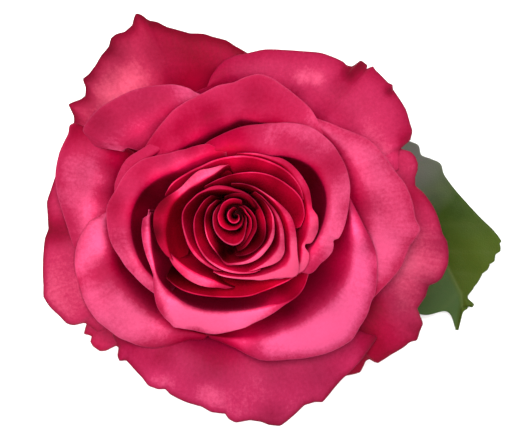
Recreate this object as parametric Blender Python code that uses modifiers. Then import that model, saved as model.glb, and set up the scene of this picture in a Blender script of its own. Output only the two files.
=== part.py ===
"""A full-blown double rose, cut just below the bloom and resting face up, with one leaf.

Lengths below are in millimetres and angles in degrees. Azimuths run anticlockwise from +X.
"""
import bpy
import bmesh
import math

MM = 0.001

# Petals. A crest is the edge where a petal stops rising and starts to roll outward.
PETAL_THICKNESS = 0.35
CREST_TOP = 46.5            # height of the highest crests
CREST_TOP_RADIUS = 17.0     # how far out the highest crests stand
INNER_FALL = 0.009          # how the crests sink towards the bud, per mm squared
OUTER_FALL = 0.058          # how the crests sink towards the guard petals, per mm squared
SHOULDER = 1.5              # length of upright petal just under a crest
UPRIGHT = 86.0              # how upright a petal can stand, and how flat it can lie
FLAT = 28.0
LIP_TURNS = (2.4, 0.75)     # how quickly a flat and an upright lip roll over
LIP_STEEPEST = 3.2          # steepest start of a lip
CREST_SHARE = 0.6           # share of a petal's length that lies below its crest
CLAW_PULL = 0.42            # how far the curve of a petal follows its claw and its shoulder
SHOULDER_PULL = 0.4
CLAW_ANGLES = (86.0, 4.0)   # how steeply a bud petal and a guard petal leave the dome
CLAW_RADII = (6.0, 36.0)    # the crest radii at which those two hold
FULL_WIDTH_SHARE = 0.45     # share of the length at which a petal has opened to its full width
SIDE_DROP = 0.28            # how much shorter a petal is at its two side edges
SIDE_POWER = 6              # how late along its width that happens
COLUMN_DEGREES = 12.0       # width of one column of faces, with a least and a largest count
FEWEST_COLUMNS = 8
MOST_COLUMNS = 26
WALL_STEPS = (0.0, 0.22, 0.45, 0.72, 1.0)
NARROW_LIP = 1.5            # lips under these widths take fewer rows of faces
BROAD_LIP = 4.0

# Receptacle: the dome the petals grow from, the hip below it, and the cut stem
DOME_RADIUS = 6.6
DOME_HEIGHT = 5.5
DOME_BASE = 16.5
SEAT_GAP = 0.3
HIP_PROFILE = ((0.0, 5.6), (2.6, 5.6), (3.4, 6.8), (5.2, 9.0), (5.8, 11.0), (5.5, 13.0), (6.3, 15.0))
ROUND_STEPS = 24
STEM_RADIUS = 2.5
STEM_TOP = 5.3
STEM_LEAN = (1.0, -1.6)
CUT_SLOPE = 0.35

# Sepals: five, folded back below the petals down to the surface
SEPAL_COUNT = 5
SEPAL_LENGTH_PATH = ((6.3, 12.2), (13.5, 12.6), (20.5, 8.0), (26.0, 0.35))
SEPAL_HALF_WIDTHS = (3.3, 4.6, 4.0, 2.4, 0.4)
SEPAL_CUP = 0.02            # how much a sepal's sides rise above its middle
SEPAL_THICKNESS = 0.5
SEPAL_FIRST_AZIMUTH = 12.0

# Leaf: the stalk from the stem and a serrated blade that lies on the surface
PETIOLE_RADIUS = 0.8
PETIOLE_PATH = ((3.2, 1.2, 3.4), (16.0, 9.0, 3.2), (29.5, 24.0, 2.0), (37.0, 21.75, 0.95))
LEAF_THICKNESS = 0.45
LEAF_MIDRIB = ((37.4, 20.9), (44.5, 5.0), (53.0, -12.0), (57.6, -21.0), (55.6, -28.6))
LEAF_OUTER_WIDTHS = (0.3, 6.0, 9.0, 10.7, 13.5, 10.0, 1.9, 1.0, 0.3)
LEAF_INNER_WIDTHS = (0.3, 8.0, 13.0, 15.0, 15.0, 12.5, 5.2, 1.5, 0.3)
LEAF_FOLD = 0.17            # how steeply the two halves rise from the midrib
LEAF_ARCH = 0.9
LEAF_FLOOR = 0.5
LEAF_TEETH = 9
LEAF_TOOTH_DEPTH = 1.1

# One row a petal, from the bud outward: name, first and last azimuth, crest radii and rim radii
# at even steps between them, how upright the petal stands at its crest, how strongly its lip
# droops, half-width of its claw in degrees and how far down the dome the claw sits.
INNER_PETALS = (
    ("bud_core", 60, 460, (1.95, 1.65, 1.4, 1.1, 0.85), (2.15, 1.85, 1.55, 1.25, 1.0), 86, 0.06, 60, 9),
    ("bud_left", 75, 290, (4.0, 3.95, 3.9, 3.8, 3.7), (4.5, 4.4, 4.3, 4.2, 4.0), 84, 0.06, 22, 22),
    ("bud_front", 180, 338, (4.9, 6.1, 7.3, 5.5, 3.4), (5.3, 6.6, 7.9, 6.0, 3.7), 82, 0.06, 16, 29),
    ("bud_right", -110, 45, (9.0, 6.9, 4.8, 3.6, 2.8), (9.4, 7.3, 5.2, 4.0, 3.1), 82, 0.06, 15, 34),
    ("heart_top", -60, 125, (8.9, 6.7, 5.3, 5.1, 5.3), (9.3, 7.1, 5.7, 5.5, 5.7), 80, 0.06, 15, 36),
    ("heart_right", -108, 85, (10.0, 9.7, 8.2, 7.0, 6.3), (10.5, 10.2, 8.7, 7.4, 6.6), 78, 0.06, 12, 44),
    ("heart_left", 95, 255, (6.3, 6.6, 7.2, 8.3, 11.2), (6.7, 7.0, 7.6, 8.7, 11.7), 78, 0.06, 15, 40),
    ("heart_front", -115, 62, (12.3, 12.0, 10.4, 9.2, 8.3), (13.3, 12.9, 11.1, 9.6, 8.6), 76, 0.06, 12, 51),
    ("ring_left", 85, 300, (7.6, 10.0, 13.4, 14.8, 16.9), (7.9, 10.5, 14.1, 15.6, 19.0), 75, 0.06, 13, 53),
    ("ring_front", -75, 45, (14.2, 14.0, 11.8, 10.5, 9.9), (15.2, 15.1, 12.5, 10.9, 10.2), 75, 0.06, 11, 60),
    ("ring_right", -50, 75, (18.0, 15.4, 12.8, 10.9, 9.2), (19.2, 16.4, 13.4, 11.3, 9.5), 75, 0.06, 11, 68),
    ("ring_top", 20, 125, (14.4, 12.4, 11.2, 10.7, 11.3), (14.9, 12.9, 11.7, 11.2, 11.8), 75, 0.06, 11, 61),
    ("ring_back", 88, 262, (13.3, 13.7, 16.9, 18.8, 19.6), (13.9, 15.6, 18.4, 19.9, 20.4), 75, 0.06, 11, 62),
    ("lobe_right", -75, 60, (18.6, 19.9, 18.2, 15.4, 13.1), (19.8, 21.3, 19.8, 16.4, 13.5), 76, 0.06, 10, 76),
    ("lobe_top", 30, 150, (17.4, 15.7, 15.1, 15.4, 17.3), (18.6, 17.0, 16.3, 17.0, 18.3), 76, 0.06, 10, 69),
    ("lobe_front", 236, 318, (21.1, 21.2, 21.3, 21.5), (21.7, 21.9, 22.0, 22.0), 78, 0.06, 10, 66),
)
CUP_PETALS = (
    ("cup_front", 162, 318, (19.6, 20.4, 21.8, 23.4, 23.9, 22.8, 23.2),
     (20.4, 21.2, 26.0, 31.0, 28.9, 26.3, 24.2), 86, 0.06, 10, 74),
    ("cup_right", -37, 102, (21.6, 20.9, 22.3, 21.5, 18.8, 17.6, 18.0),
     (23.8, 25.2, 28.7, 29.2, 25.8, 23.4, 20.6), 86, 0.06, 10, 84),
    ("cup_sliver", 176, 212, (21.8, 21.9, 22.6, 23.0), (23.2, 23.4, 23.8, 23.6), 84, 0.06, 8, 86),
    ("cup_left", 104, 228, (19.2, 19.4, 22.0, 25.5, 26.3, 26.6),
     (20.4, 21.4, 25.5, 31.3, 30.2, 27.8), 86, 0.06, 10, 78),
    ("fold_left", 136, 176, (24.2, 26.0, 28.4), (26.8, 30.6, 31.0), 75, 0.06, 7, 92),
    ("spread_top", 40, 142, (28.0, 25.8, 24.0, 22.5, 22.1),
     (30.3, 34.8, 33.4, 30.2, 27.4), 80, 0.03, 9, 90),
    ("roll_left", 176, 256, (31.6, 32.4, 32.6, 31.5, 30.8), (34.0, 40.2, 44.0, 40.6, 34.5), 76, 0.06, 9, 92),
    ("roll_right", -104, 10, (30.6, 30.4, 32.0, 30.0, 27.8), (32.0, 38.6, 42.6, 37.2, 29.4), 76, 0.06, 9, 88),
    ("spread_right", -40, 60, (33.8, 32.6, 31.0, 31.2, 30.0),
     (38.0, 43.4, 46.0, 41.6, 31.0), 55, 0.03, 8, 95),
    ("fold_top", 98, 158, (28.8, 31.0, 33.6), (32.4, 40.4, 44.0), 50, 0.03, 8, 96),
    ("spread_left", 146, 204, (35.0, 34.9, 34.8, 35.2), (43.5, 45.2, 43.4, 40.0), 45, 0.03, 8, 98),
)
GUARD_PETALS = (
    ("guard_front", 218, 320, (35.6, 36.4, 36.6, 36.4, 36.2),
     (45.5, 47.4, 51.6, 51.6, 50.0), 32, 0.05, 9, 100),
    ("guard_top_right", 12, 104, (35.0, 36.0, 36.0, 35.4, 34.2),
     (46.5, 50.6, 48.6, 43.4, 40.0), 32, 0.05, 9, 100),
    ("guard_left", 162, 226, (37.4, 37.4, 37.4, 37.4), (46.5, 47.4, 52.2, 47.5), 32, 0.05, 8, 103),
    ("guard_top_left", 78, 160, (37.4, 37.8, 38.0, 37.8, 37.4),
     (41.5, 46.4, 56.4, 51.6, 48.0), 32, 0.05, 9, 104),
    ("guard_right", -62, 30, (38.6, 38.6, 38.4, 38.2, 37.8),
     (50.0, 54.2, 52.2, 51.8, 46.6), 32, 0.045, 9, 104),
    ("guard_small", 208, 236, (39.8, 39.8, 39.8), (46.6, 48.6, 45.4), 32, 0.06, 6, 108),
)

# Linear colours
DEEP_RED = (0.30, 0.006, 0.035, 1.0)
ROSE_PINK = (0.62, 0.025, 0.12, 1.0)
DUSTY_PINK = (0.50, 0.025, 0.09, 1.0)
LEAF_GREEN = (0.045, 0.11, 0.022, 1.0)
SEPAL_GREEN = (0.07, 0.16, 0.035, 1.0)
STEM_GREEN = (0.08, 0.15, 0.04, 1.0)


def clear_scene():
    for item in list(bpy.data.objects):
        bpy.data.objects.remove(item, do_unlink=True)
    for block in list(bpy.data.collections):
        bpy.data.collections.remove(block)


def make_collection(name):
    group = bpy.data.collections.new(name)
    bpy.context.scene.collection.children.link(group)
    return group


def make_material(name, colour, roughness):
    material = bpy.data.materials.new(name)
    material.use_nodes = True
    shader = material.node_tree.nodes["Principled BSDF"]
    shader.inputs["Base Color"].default_value = colour
    shader.inputs["Roughness"].default_value = roughness
    shader.inputs["Metallic"].default_value = 0.0
    return material


def mix(first, second, share):
    return first + (second - first) * share


def clamp(value, low=0.0, high=1.0):
    return max(low, min(high, value))


def along(values, share):
    """Smooth curve through evenly spaced values (Catmull-Rom)."""
    place = clamp(share) * (len(values) - 1)
    index = min(int(place), len(values) - 2)
    t = place - index
    before = values[max(index - 1, 0)]
    start = values[index]
    end = values[index + 1]
    after = values[min(index + 2, len(values) - 1)]
    slope_in = (end - before) / 2
    slope_out = (after - start) / 2
    return (start * (2 * t ** 3 - 3 * t ** 2 + 1) + slope_in * (t ** 3 - 2 * t ** 2 + t)
            + end * (3 * t ** 2 - 2 * t ** 3) + slope_out * (t ** 3 - t ** 2))


def bezier(points, t):
    """Point at share t of a cubic through its two ends and towards its two handles."""
    s = 1 - t
    weights = (s ** 3, 3 * s * s * t, 3 * s * t * t, t ** 3)
    return tuple(sum(w * p[axis] for w, p in zip(weights, points)) for axis in range(len(points[0])))


def crest_height(radius):
    away = radius - CREST_TOP_RADIUS
    fall = INNER_FALL if away < 0 else OUTER_FALL
    return CREST_TOP - fall * away * away


def claw_point(dome_angle):
    """Where a claw meets the dome, as radius and height."""
    reach = SEAT_GAP + PETAL_THICKNESS / 2
    angle = math.radians(dome_angle)
    radius = (DOME_RADIUS + reach) * math.sin(angle)
    height = DOME_BASE + (DOME_HEIGHT + reach) * math.cos(angle)
    return radius, height


def petal_profile(crest, rim, stand, droop, dome_angle, share):
    """Radius and height at a share of the way from claw to rim."""
    base = claw_point(dome_angle)
    shoulder = (crest, crest_height(crest) - SHOULDER)
    if share <= CREST_SHARE:
        spread = clamp((crest - CLAW_RADII[0]) / (CLAW_RADII[1] - CLAW_RADII[0]))
        start_angle = math.radians(mix(CLAW_ANGLES[0], CLAW_ANGLES[1], spread))
        end_angle = math.radians(stand)
        reach = math.dist(base, shoulder)
        rise = (base[0] + CLAW_PULL * reach * math.cos(start_angle),
                base[1] + CLAW_PULL * reach * math.sin(start_angle))
        arrive = (shoulder[0] - SHOULDER_PULL * reach * math.cos(end_angle),
                  shoulder[1] - SHOULDER_PULL * reach * math.sin(end_angle))
        return bezier((base, rise, arrive, shoulder), share / CREST_SHARE)
    out = (rim - crest) * (share - CREST_SHARE) / (1 - CREST_SHARE)
    turn = mix(LIP_TURNS[0], LIP_TURNS[1], clamp((stand - FLAT) / (UPRIGHT - FLAT)))
    rise = turn * min(LIP_STEEPEST, math.tan(math.radians(stand)))
    return crest + out, shoulder[1] + rise * (1 - math.exp(-out / turn)) - droop * out * out


def side_width(claw, full, share):
    """Half-width of a petal in degrees: a narrow claw that opens to the full width."""
    opening = clamp(share / FULL_WIDTH_SHARE)
    opening = opening * opening * (3 - 2 * opening)
    return mix(claw, full, opening)


def petal_rows(lip):
    """Shares of a petal's length where its rows of points lie; a wide lip has more of them."""
    wall = [CREST_SHARE * step for step in WALL_STEPS]
    if lip < NARROW_LIP:
        steps = (1.0,)
    elif lip < BROAD_LIP:
        steps = (0.3, 1.0)
    else:
        steps = (0.08, 0.25, 0.6, 1.0)
    return wall + [CREST_SHARE + (1 - CREST_SHARE) * step for step in steps]


def finish_sheet(name, mesh, work, thickness, group, material):
    """Turn a bent sheet of faces into a solid of even thickness."""
    bmesh.ops.recalc_face_normals(work, faces=work.faces)
    work.to_mesh(mesh)
    work.free()
    mesh.shade_smooth()
    mesh.materials.append(material)
    sheet = bpy.data.objects.new(name, mesh)
    group.objects.link(sheet)
    solidify = sheet.modifiers.new("thickness", "SOLIDIFY")
    solidify.thickness = thickness * MM
    solidify.offset = 0.0
    return sheet


def make_petal(row, group, material):
    name, first, last, crests, rims, stand, droop, claw, dome_angle = row
    rows = petal_rows(max(r - c for r, c in zip(rims, crests)))
    half = (last - first) / 2
    middle = (last + first) / 2
    columns = min(MOST_COLUMNS, max(FEWEST_COLUMNS, round((last - first) / COLUMN_DEGREES)))
    mesh = bpy.data.meshes.new(name)
    work = bmesh.new()
    bmesh.ops.create_grid(work, x_segments=columns, y_segments=len(rows) - 1, size=1)
    for vertex in work.verts:
        across = vertex.co.x
        row_index = round((vertex.co.y + 1) / 2 * (len(rows) - 1))
        share = rows[row_index] * (1 - SIDE_DROP * abs(across) ** SIDE_POWER)
        azimuth = middle + across * side_width(claw, half, share)
        place = (azimuth - first) / (last - first)
        radius, height = petal_profile(along(crests, place), along(rims, place), stand, droop,
                                       dome_angle, share)
        angle = math.radians(azimuth)
        vertex.co = (MM * radius * math.cos(angle), MM * radius * math.sin(angle), MM * height)
    return finish_sheet(name, mesh, work, PETAL_THICKNESS, group, material)


def make_lathe(name, profile, group, material):
    """A body of revolution about the vertical axis through radius and height points."""
    mesh = bpy.data.meshes.new(name)
    work = bmesh.new()
    points = [work.verts.new((MM * radius, 0, MM * height)) for radius, height in profile]
    for low, high in zip(points, points[1:]):
        work.edges.new((low, high))
    work.to_mesh(mesh)
    work.free()
    body = bpy.data.objects.new(name, mesh)
    group.objects.link(body)
    screw = body.modifiers.new("turn", "SCREW")
    screw.steps = ROUND_STEPS
    screw.render_steps = ROUND_STEPS
    screw.use_merge_vertices = True
    screw.merge_threshold = 0.00001
    screw.use_normal_calculate = True
    mesh.materials.append(material)
    return body


def dome_profile():
    steps = (90, 72, 54, 36, 18, 0)
    return tuple((DOME_RADIUS * math.sin(math.radians(a)), DOME_BASE + DOME_HEIGHT * math.cos(math.radians(a)))
                 for a in steps)


def make_stem(group, material):
    mesh = bpy.data.meshes.new("stem")
    work = bmesh.new()
    bmesh.ops.create_cone(work, cap_ends=True, segments=20, radius1=STEM_RADIUS * MM,
                          radius2=STEM_RADIUS * MM, depth=1.0)
    for vertex in work.verts:
        if vertex.co.z > 0:
            vertex.co.z = STEM_TOP * MM
            continue
        cut = (vertex.co.x + STEM_RADIUS * MM) * CUT_SLOPE
        vertex.co.x += STEM_LEAN[0] * MM
        vertex.co.y += STEM_LEAN[1] * MM
        vertex.co.z = 0.1 * MM + cut
    work.to_mesh(mesh)
    work.free()
    mesh.shade_smooth()
    stem = bpy.data.objects.new("stem", mesh)
    group.objects.link(stem)
    mesh.materials.append(material)
    return stem


def make_sepal(index, group, material):
    name = "sepal_" + str(index + 1)
    azimuth = math.radians(SEPAL_FIRST_AZIMUTH + index * 360 / SEPAL_COUNT)
    mesh = bpy.data.meshes.new(name)
    work = bmesh.new()
    bmesh.ops.create_grid(work, x_segments=8, y_segments=4, size=1)
    for vertex in work.verts:
        share = (vertex.co.x + 1) / 2
        side = vertex.co.y * along(SEPAL_HALF_WIDTHS, share)
        radius, height = bezier(SEPAL_LENGTH_PATH, share)
        height += SEPAL_CUP * side * side * (1 - share)
        x = radius * math.cos(azimuth) - side * math.sin(azimuth)
        y = radius * math.sin(azimuth) + side * math.cos(azimuth)
        vertex.co = (MM * x, MM * y, MM * height)
    return finish_sheet(name, mesh, work, SEPAL_THICKNESS, group, material)


def make_petiole(group, material):
    curve = bpy.data.curves.new("leaf_stalk", "CURVE")
    curve.dimensions = "3D"
    curve.bevel_depth = PETIOLE_RADIUS * MM
    curve.bevel_resolution = 2
    curve.resolution_u = 4
    curve.use_fill_caps = True
    spline = curve.splines.new("NURBS")
    spline.points.add(len(PETIOLE_PATH) - 1)
    for point, place in zip(spline.points, PETIOLE_PATH):
        point.co = (MM * place[0], MM * place[1], MM * place[2], 1)
    spline.use_endpoint_u = True
    spline.order_u = 4
    stalk = bpy.data.objects.new("leaf_stalk", curve)
    group.objects.link(stalk)
    curve.materials.append(material)
    return stalk


def leaf_middle(share):
    """Point on the midrib and its direction, seen from above."""
    xs = [point[0] for point in LEAF_MIDRIB]
    ys = [point[1] for point in LEAF_MIDRIB]
    here = (along(xs, share), along(ys, share))
    step = 0.01
    ahead = (along(xs, min(1.0, share + step)), along(ys, min(1.0, share + step)))
    behind = (along(xs, max(0.0, share - step)), along(ys, max(0.0, share - step)))
    length = math.dist(ahead, behind)
    return here, ((ahead[0] - behind[0]) / length, (ahead[1] - behind[1]) / length)


def leaf_width(share, side):
    """Half-width of the blade on one side of its midrib, with the saw teeth cut in."""
    widths = LEAF_OUTER_WIDTHS if side > 0 else LEAF_INNER_WIDTHS
    width = max(0.3, along(widths, share))
    tooth = (share * LEAF_TEETH) % 1.0
    return max(0.3, width - LEAF_TOOTH_DEPTH * (1 - tooth) * min(1.0, width / 5))


def make_leaf(group, material):
    mesh = bpy.data.meshes.new("leaf_blade")
    work = bmesh.new()
    bmesh.ops.create_grid(work, x_segments=2 * LEAF_TEETH, y_segments=6, size=1)
    for vertex in work.verts:
        share = (vertex.co.x + 1) / 2
        here, run = leaf_middle(share)
        side = vertex.co.y * leaf_width(share, vertex.co.y)
        x = here[0] - side * run[1]
        y = here[1] + side * run[0]
        height = LEAF_FLOOR + LEAF_FOLD * abs(side) + LEAF_ARCH * math.sin(math.pi * share)
        vertex.co = (MM * x, MM * y, MM * height)
    return finish_sheet("leaf_blade", mesh, work, LEAF_THICKNESS, group, material)


def stand_on_origin(group):
    """Hang every piece on one empty so that the middle of the rose's base is the origin."""
    view = bpy.context.evaluated_depsgraph_get()
    low = [math.inf] * 3
    high = [-math.inf] * 3
    for piece in group.objects:
        shape = piece.evaluated_get(view)
        mesh = shape.to_mesh()
        for vertex in mesh.vertices:
            for axis in range(3):
                low[axis] = min(low[axis], vertex.co[axis])
                high[axis] = max(high[axis], vertex.co[axis])
        shape.to_mesh_clear()
    root = bpy.data.objects.new("rose_root", None)
    for piece in group.objects:
        piece.parent = root
    group.objects.link(root)
    root.location = (-(low[0] + high[0]) / 2, -(low[1] + high[1]) / 2, -low[2])


def build():
    clear_scene()
    group = make_collection("rose")
    inner = make_material("petal_inner", DEEP_RED, 0.55)
    cup = make_material("petal_cup", ROSE_PINK, 0.5)
    guard = make_material("petal_guard", DUSTY_PINK, 0.55)
    leaf_green = make_material("leaf", LEAF_GREEN, 0.45)
    sepal_green = make_material("sepal", SEPAL_GREEN, 0.6)
    stem_green = make_material("stem", STEM_GREEN, 0.55)
    for row in INNER_PETALS:
        make_petal(row, group, inner)
    for row in CUP_PETALS:
        make_petal(row, group, cup)
    for row in GUARD_PETALS:
        make_petal(row, group, guard)
    make_lathe("hip", HIP_PROFILE + dome_profile(), group, sepal_green)
    make_stem(group, stem_green)
    for index in range(SEPAL_COUNT):
        make_sepal(index, group, sepal_green)
    make_petiole(group, stem_green)
    make_leaf(group, leaf_green)
    stand_on_origin(group)


build()
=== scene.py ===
# Cut rose bloom lying face up, with its leaf: finished petals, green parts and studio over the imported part
import math
import bpy
import bmesh
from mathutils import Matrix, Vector, noise


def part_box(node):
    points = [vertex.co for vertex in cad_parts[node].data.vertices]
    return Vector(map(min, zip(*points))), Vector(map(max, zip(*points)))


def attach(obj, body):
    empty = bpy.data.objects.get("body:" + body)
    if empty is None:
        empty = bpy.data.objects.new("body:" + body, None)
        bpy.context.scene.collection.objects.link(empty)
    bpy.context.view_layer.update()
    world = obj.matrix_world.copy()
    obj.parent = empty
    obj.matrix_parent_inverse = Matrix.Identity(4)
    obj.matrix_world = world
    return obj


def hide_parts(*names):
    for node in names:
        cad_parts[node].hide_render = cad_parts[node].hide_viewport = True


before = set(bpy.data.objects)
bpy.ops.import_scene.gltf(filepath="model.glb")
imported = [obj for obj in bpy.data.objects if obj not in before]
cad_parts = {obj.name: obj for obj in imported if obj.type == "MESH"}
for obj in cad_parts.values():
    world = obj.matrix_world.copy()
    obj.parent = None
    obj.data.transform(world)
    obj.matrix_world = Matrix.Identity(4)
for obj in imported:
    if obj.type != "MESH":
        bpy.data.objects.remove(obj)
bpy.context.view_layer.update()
hipLow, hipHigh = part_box("hip")
mm = 0.001
hipStart = 5.6 * mm                                    # the hip starts this far over the table
bloomAxis = Vector(((hipLow.x + hipHigh.x) / 2, (hipLow.y + hipHigh.y) / 2, hipLow.z - hipStart))
print("frame loaded, bloom axis at", [round(v / mm, 2) for v in bloomAxis], "mm")


# numbers and places
def mix(a, b, t):
    return a + (b - a) * t


def clamp(value, low=0.0, high=1.0):
    return max(low, min(high, value))


def smooth(value):
    value = clamp(value)
    return value * value * (3 - 2 * value)


def bump(away, width):  # 1 on the spot, fading out over the width
    return math.exp(-(away / width) ** 2)


def spot(azimuth, radius, height):  # degrees and mm about the bloom's axis, to a point in the frame
    angle = math.radians(azimuth)
    return bloomAxis + Vector((radius * math.cos(angle), radius * math.sin(angle), height)) * mm


def flatSpot(x, y, height):  # mm east, north and up from the bloom's axis on the table
    return bloomAxis + Vector((x, y, height)) * mm


def evenly(values, first, last):
    # plain numbers are spread evenly between the two ends, pairs say their own place
    if isinstance(values[0], tuple):
        return values
    step = (last - first) / (len(values) - 1)
    return tuple((first + index * step, value) for index, value in enumerate(values))


def slopesOf(pairs):
    # slopes that never overshoot, so a notch stays a notch
    gaps = [(b[1] - a[1]) / (b[0] - a[0]) for a, b in zip(pairs, pairs[1:])]
    slopes = [gaps[0]]
    for before, after in zip(gaps, gaps[1:]):
        slopes.append(0.0 if before * after <= 0 else 2 * before * after / (before + after))
    return slopes + [gaps[-1]]


def makeReader(values, first, last, sharp=0.0):
    # reads a value anywhere between its pairs, on a smooth curve or, the sharper, on straight lines
    pairs = evenly(values, first, last)
    slopes = slopesOf(pairs)

    def read(place):
        place = clamp(place, pairs[0][0], pairs[-1][0])
        index = 0
        while index < len(pairs) - 2 and place > pairs[index + 1][0]:
            index += 1
        (x0, y0), (x1, y1) = pairs[index], pairs[index + 1]
        width = x1 - x0
        t = (place - x0) / width
        t2, t3 = t * t, t * t * t
        curved = (y0 * (2 * t3 - 3 * t2 + 1) + y1 * (3 * t2 - 2 * t3)
                  + width * (slopes[index] * (t3 - 2 * t2 + t) + slopes[index + 1] * (t3 - t2)))
        return mix(curved, mix(y0, y1, t), sharp)
    return read


def bezier(points, t):
    points = [Vector(p) for p in points]
    while len(points) > 1:
        points = [a.lerp(b, t) for a, b in zip(points, points[1:])]
    return points[0]


def readPath(points, share):
    # a smooth path through all its points, share 0 to 1
    place = share * (len(points) - 1)
    index = min(int(place), len(points) - 2)
    t = place - index
    p1, p2 = Vector(points[index]), Vector(points[index + 1])
    p0 = Vector(points[index - 1]) if index else 2 * p1 - p2
    p3 = Vector(points[index + 2]) if index + 2 < len(points) else 2 * p2 - p1
    return 0.5 * (2 * p1 + (p2 - p0) * t + (2 * p0 - 5 * p1 + 4 * p2 - p3) * t * t
                  + (3 * p1 - p0 - 3 * p2 + p3) * t * t * t)


# making meshes
def joinRows(work, rows):
    for low, high in zip(rows, rows[1:]):
        for column in range(len(low) - 1):
            work.faces.new((low[column], low[column + 1], high[column + 1], high[column]))


def linkMesh(name, work, skins):
    mesh = bpy.data.meshes.new(name)
    work.to_mesh(mesh)
    work.free()
    mesh.shade_smooth()
    for skin in skins:
        mesh.materials.append(skin)
    piece = bpy.data.objects.new(name, mesh)
    bpy.context.scene.collection.objects.link(piece)
    return piece


def thicken(piece, thickness, backMaterial=0):
    flesh = piece.modifiers.new("flesh", "SOLIDIFY")
    flesh.thickness = thickness * mm
    flesh.offset = -1
    flesh.material_offset = backMaterial


def standFor(piece, node):
    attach(piece, "root")
    if node:
        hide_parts(node)


# making finishes
def startFinish(name):
    finish = bpy.data.materials.new(name)
    finish.use_nodes = True
    tree = finish.node_tree
    return finish, tree, tree.nodes["Principled BSDF"]


def feed(tree, socket, value):
    if isinstance(value, bpy.types.NodeSocket):
        tree.links.new(value, socket)
    else:
        socket.default_value = value


def addNode(tree, kind, inputs=None, **settings):
    node = tree.nodes.new(kind)
    for key, value in settings.items():
        setattr(node, key, value)
    for key, value in (inputs or {}).items():
        feed(tree, node.inputs[key], value)
    return node


def reading(tree, name):  # a value that was stored on the mesh
    return addNode(tree, "ShaderNodeAttribute", attribute_type="GEOMETRY", attribute_name=name)


def calc(tree, operation, a, b=0.0, c=0.0, clampIt=False):
    node = addNode(tree, "ShaderNodeMath", {0: a, 1: b, 2: c}, operation=operation, use_clamp=clampIt)
    return node.outputs[0]


def vary(tree, source, amount, start):  # start, moved up and down by a pattern about its middle
    return calc(tree, "MULTIPLY_ADD", calc(tree, "SUBTRACT", source, 0.5), amount, start)


def band(tree, value, low, high, toLow=0.0, toHigh=1.0):
    node = addNode(tree, "ShaderNodeMapRange", {0: value, 1: low, 2: high, 3: toLow, 4: toHigh}, clamp=True)
    return node.outputs[0]


def clouds(tree, vector, scale, detail=3.0, roughness=0.55, distortion=0.0):
    node = addNode(tree, "ShaderNodeTexNoise", {"Vector": vector, "Scale": scale, "Detail": detail,
                                                "Roughness": roughness, "Distortion": distortion})
    return node.outputs["Fac"]


def stretched(tree, vector, x, y, z):
    return addNode(tree, "ShaderNodeMapping", {"Vector": vector, "Scale": (x, y, z)}).outputs[0]


def onObject(tree):
    return addNode(tree, "ShaderNodeTexCoord").outputs["Object"]


def colourRamp(tree, value, stops):
    node = addNode(tree, "ShaderNodeValToRGB", {"Fac": value})
    elements = node.color_ramp.elements
    while len(elements) < len(stops):
        elements.new(0.5)
    for element, (place, colour) in zip(elements, stops):
        element.position = place
        element.color = (*colour, 1.0)
    return node.outputs["Color"]


def blendColours(tree, share, first, second, how="MIX"):
    node = addNode(tree, "ShaderNodeMix", {0: share}, data_type="RGBA", blend_type=how)
    for key, colour in ((6, first), (7, second)):
        feed(tree, node.inputs[key], (*colour, 1.0) if isinstance(colour, tuple) else colour)
    return node.outputs[2]


def roughen(tree, shader, height, strength, distance):
    dents = addNode(tree, "ShaderNodeBump", {"Height": height, "Strength": strength, "Distance": distance})
    tree.links.new(dents.outputs[0], shader.inputs["Normal"])


def letLightIn(shader, weight, reach, scale, gloss):
    shader.inputs["Subsurface Weight"].default_value = weight
    shader.inputs["Subsurface Radius"].default_value = reach
    shader.inputs["Subsurface Scale"].default_value = scale * mm
    shader.inputs["Specular IOR Level"].default_value = gloss


# petal finishes: from deep crimson in the folds to pale pink on the lips, partly the petals' own colour and partly
# painted shade in the folds and painted sheen on the lips, with a margin at the very edge
petalFlesh = {
    "heart": {"deep": (0.17, 0.0003, 0.006), "body": (0.25, 0.0005, 0.015), "blushAndSheen": (0.32, 0.006, 0.038),
              "glow": (0.40, 0.036, 0.092), "margin": (0.28, 0.009, 0.034), "marginShare": 0.30, "gloss": 0.012},
    "cup": {"deep": (0.17, 0.0003, 0.010), "body": (0.23, 0.001, 0.021), "blushAndSheen": (0.28, 0.0098, 0.044),
            "glow": (0.43, 0.047, 0.118), "margin": (0.42, 0.036, 0.098), "marginShare": 0.45, "gloss": 0.02},
    "guard": {"deep": (0.13, 0.0003, 0.010), "body": (0.19, 0.0018, 0.021), "blushAndSheen": (0.26, 0.0112, 0.045),
              "glow": (0.41, 0.050, 0.105), "margin": (0.11, 0.0006, 0.012), "marginShare": 0.75, "gloss": 0.03},
}
petalGrain = {"wander": 0.10, "veins": 0.05, "blotches": 0.30, "fleck": 0.27, "mottle": 0.24, "fleckScale": 1250.0,
              "stops": (0.0, 0.36, 0.70, 1.0), "backPale": 0.35, "rough": (0.46, 0.66), "bump": 0.25,
              "bumpDepth": 0.10, "through": 0.06, "throughReach": (1.0, 0.25, 0.45), "throughScale": 1.2}


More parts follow.
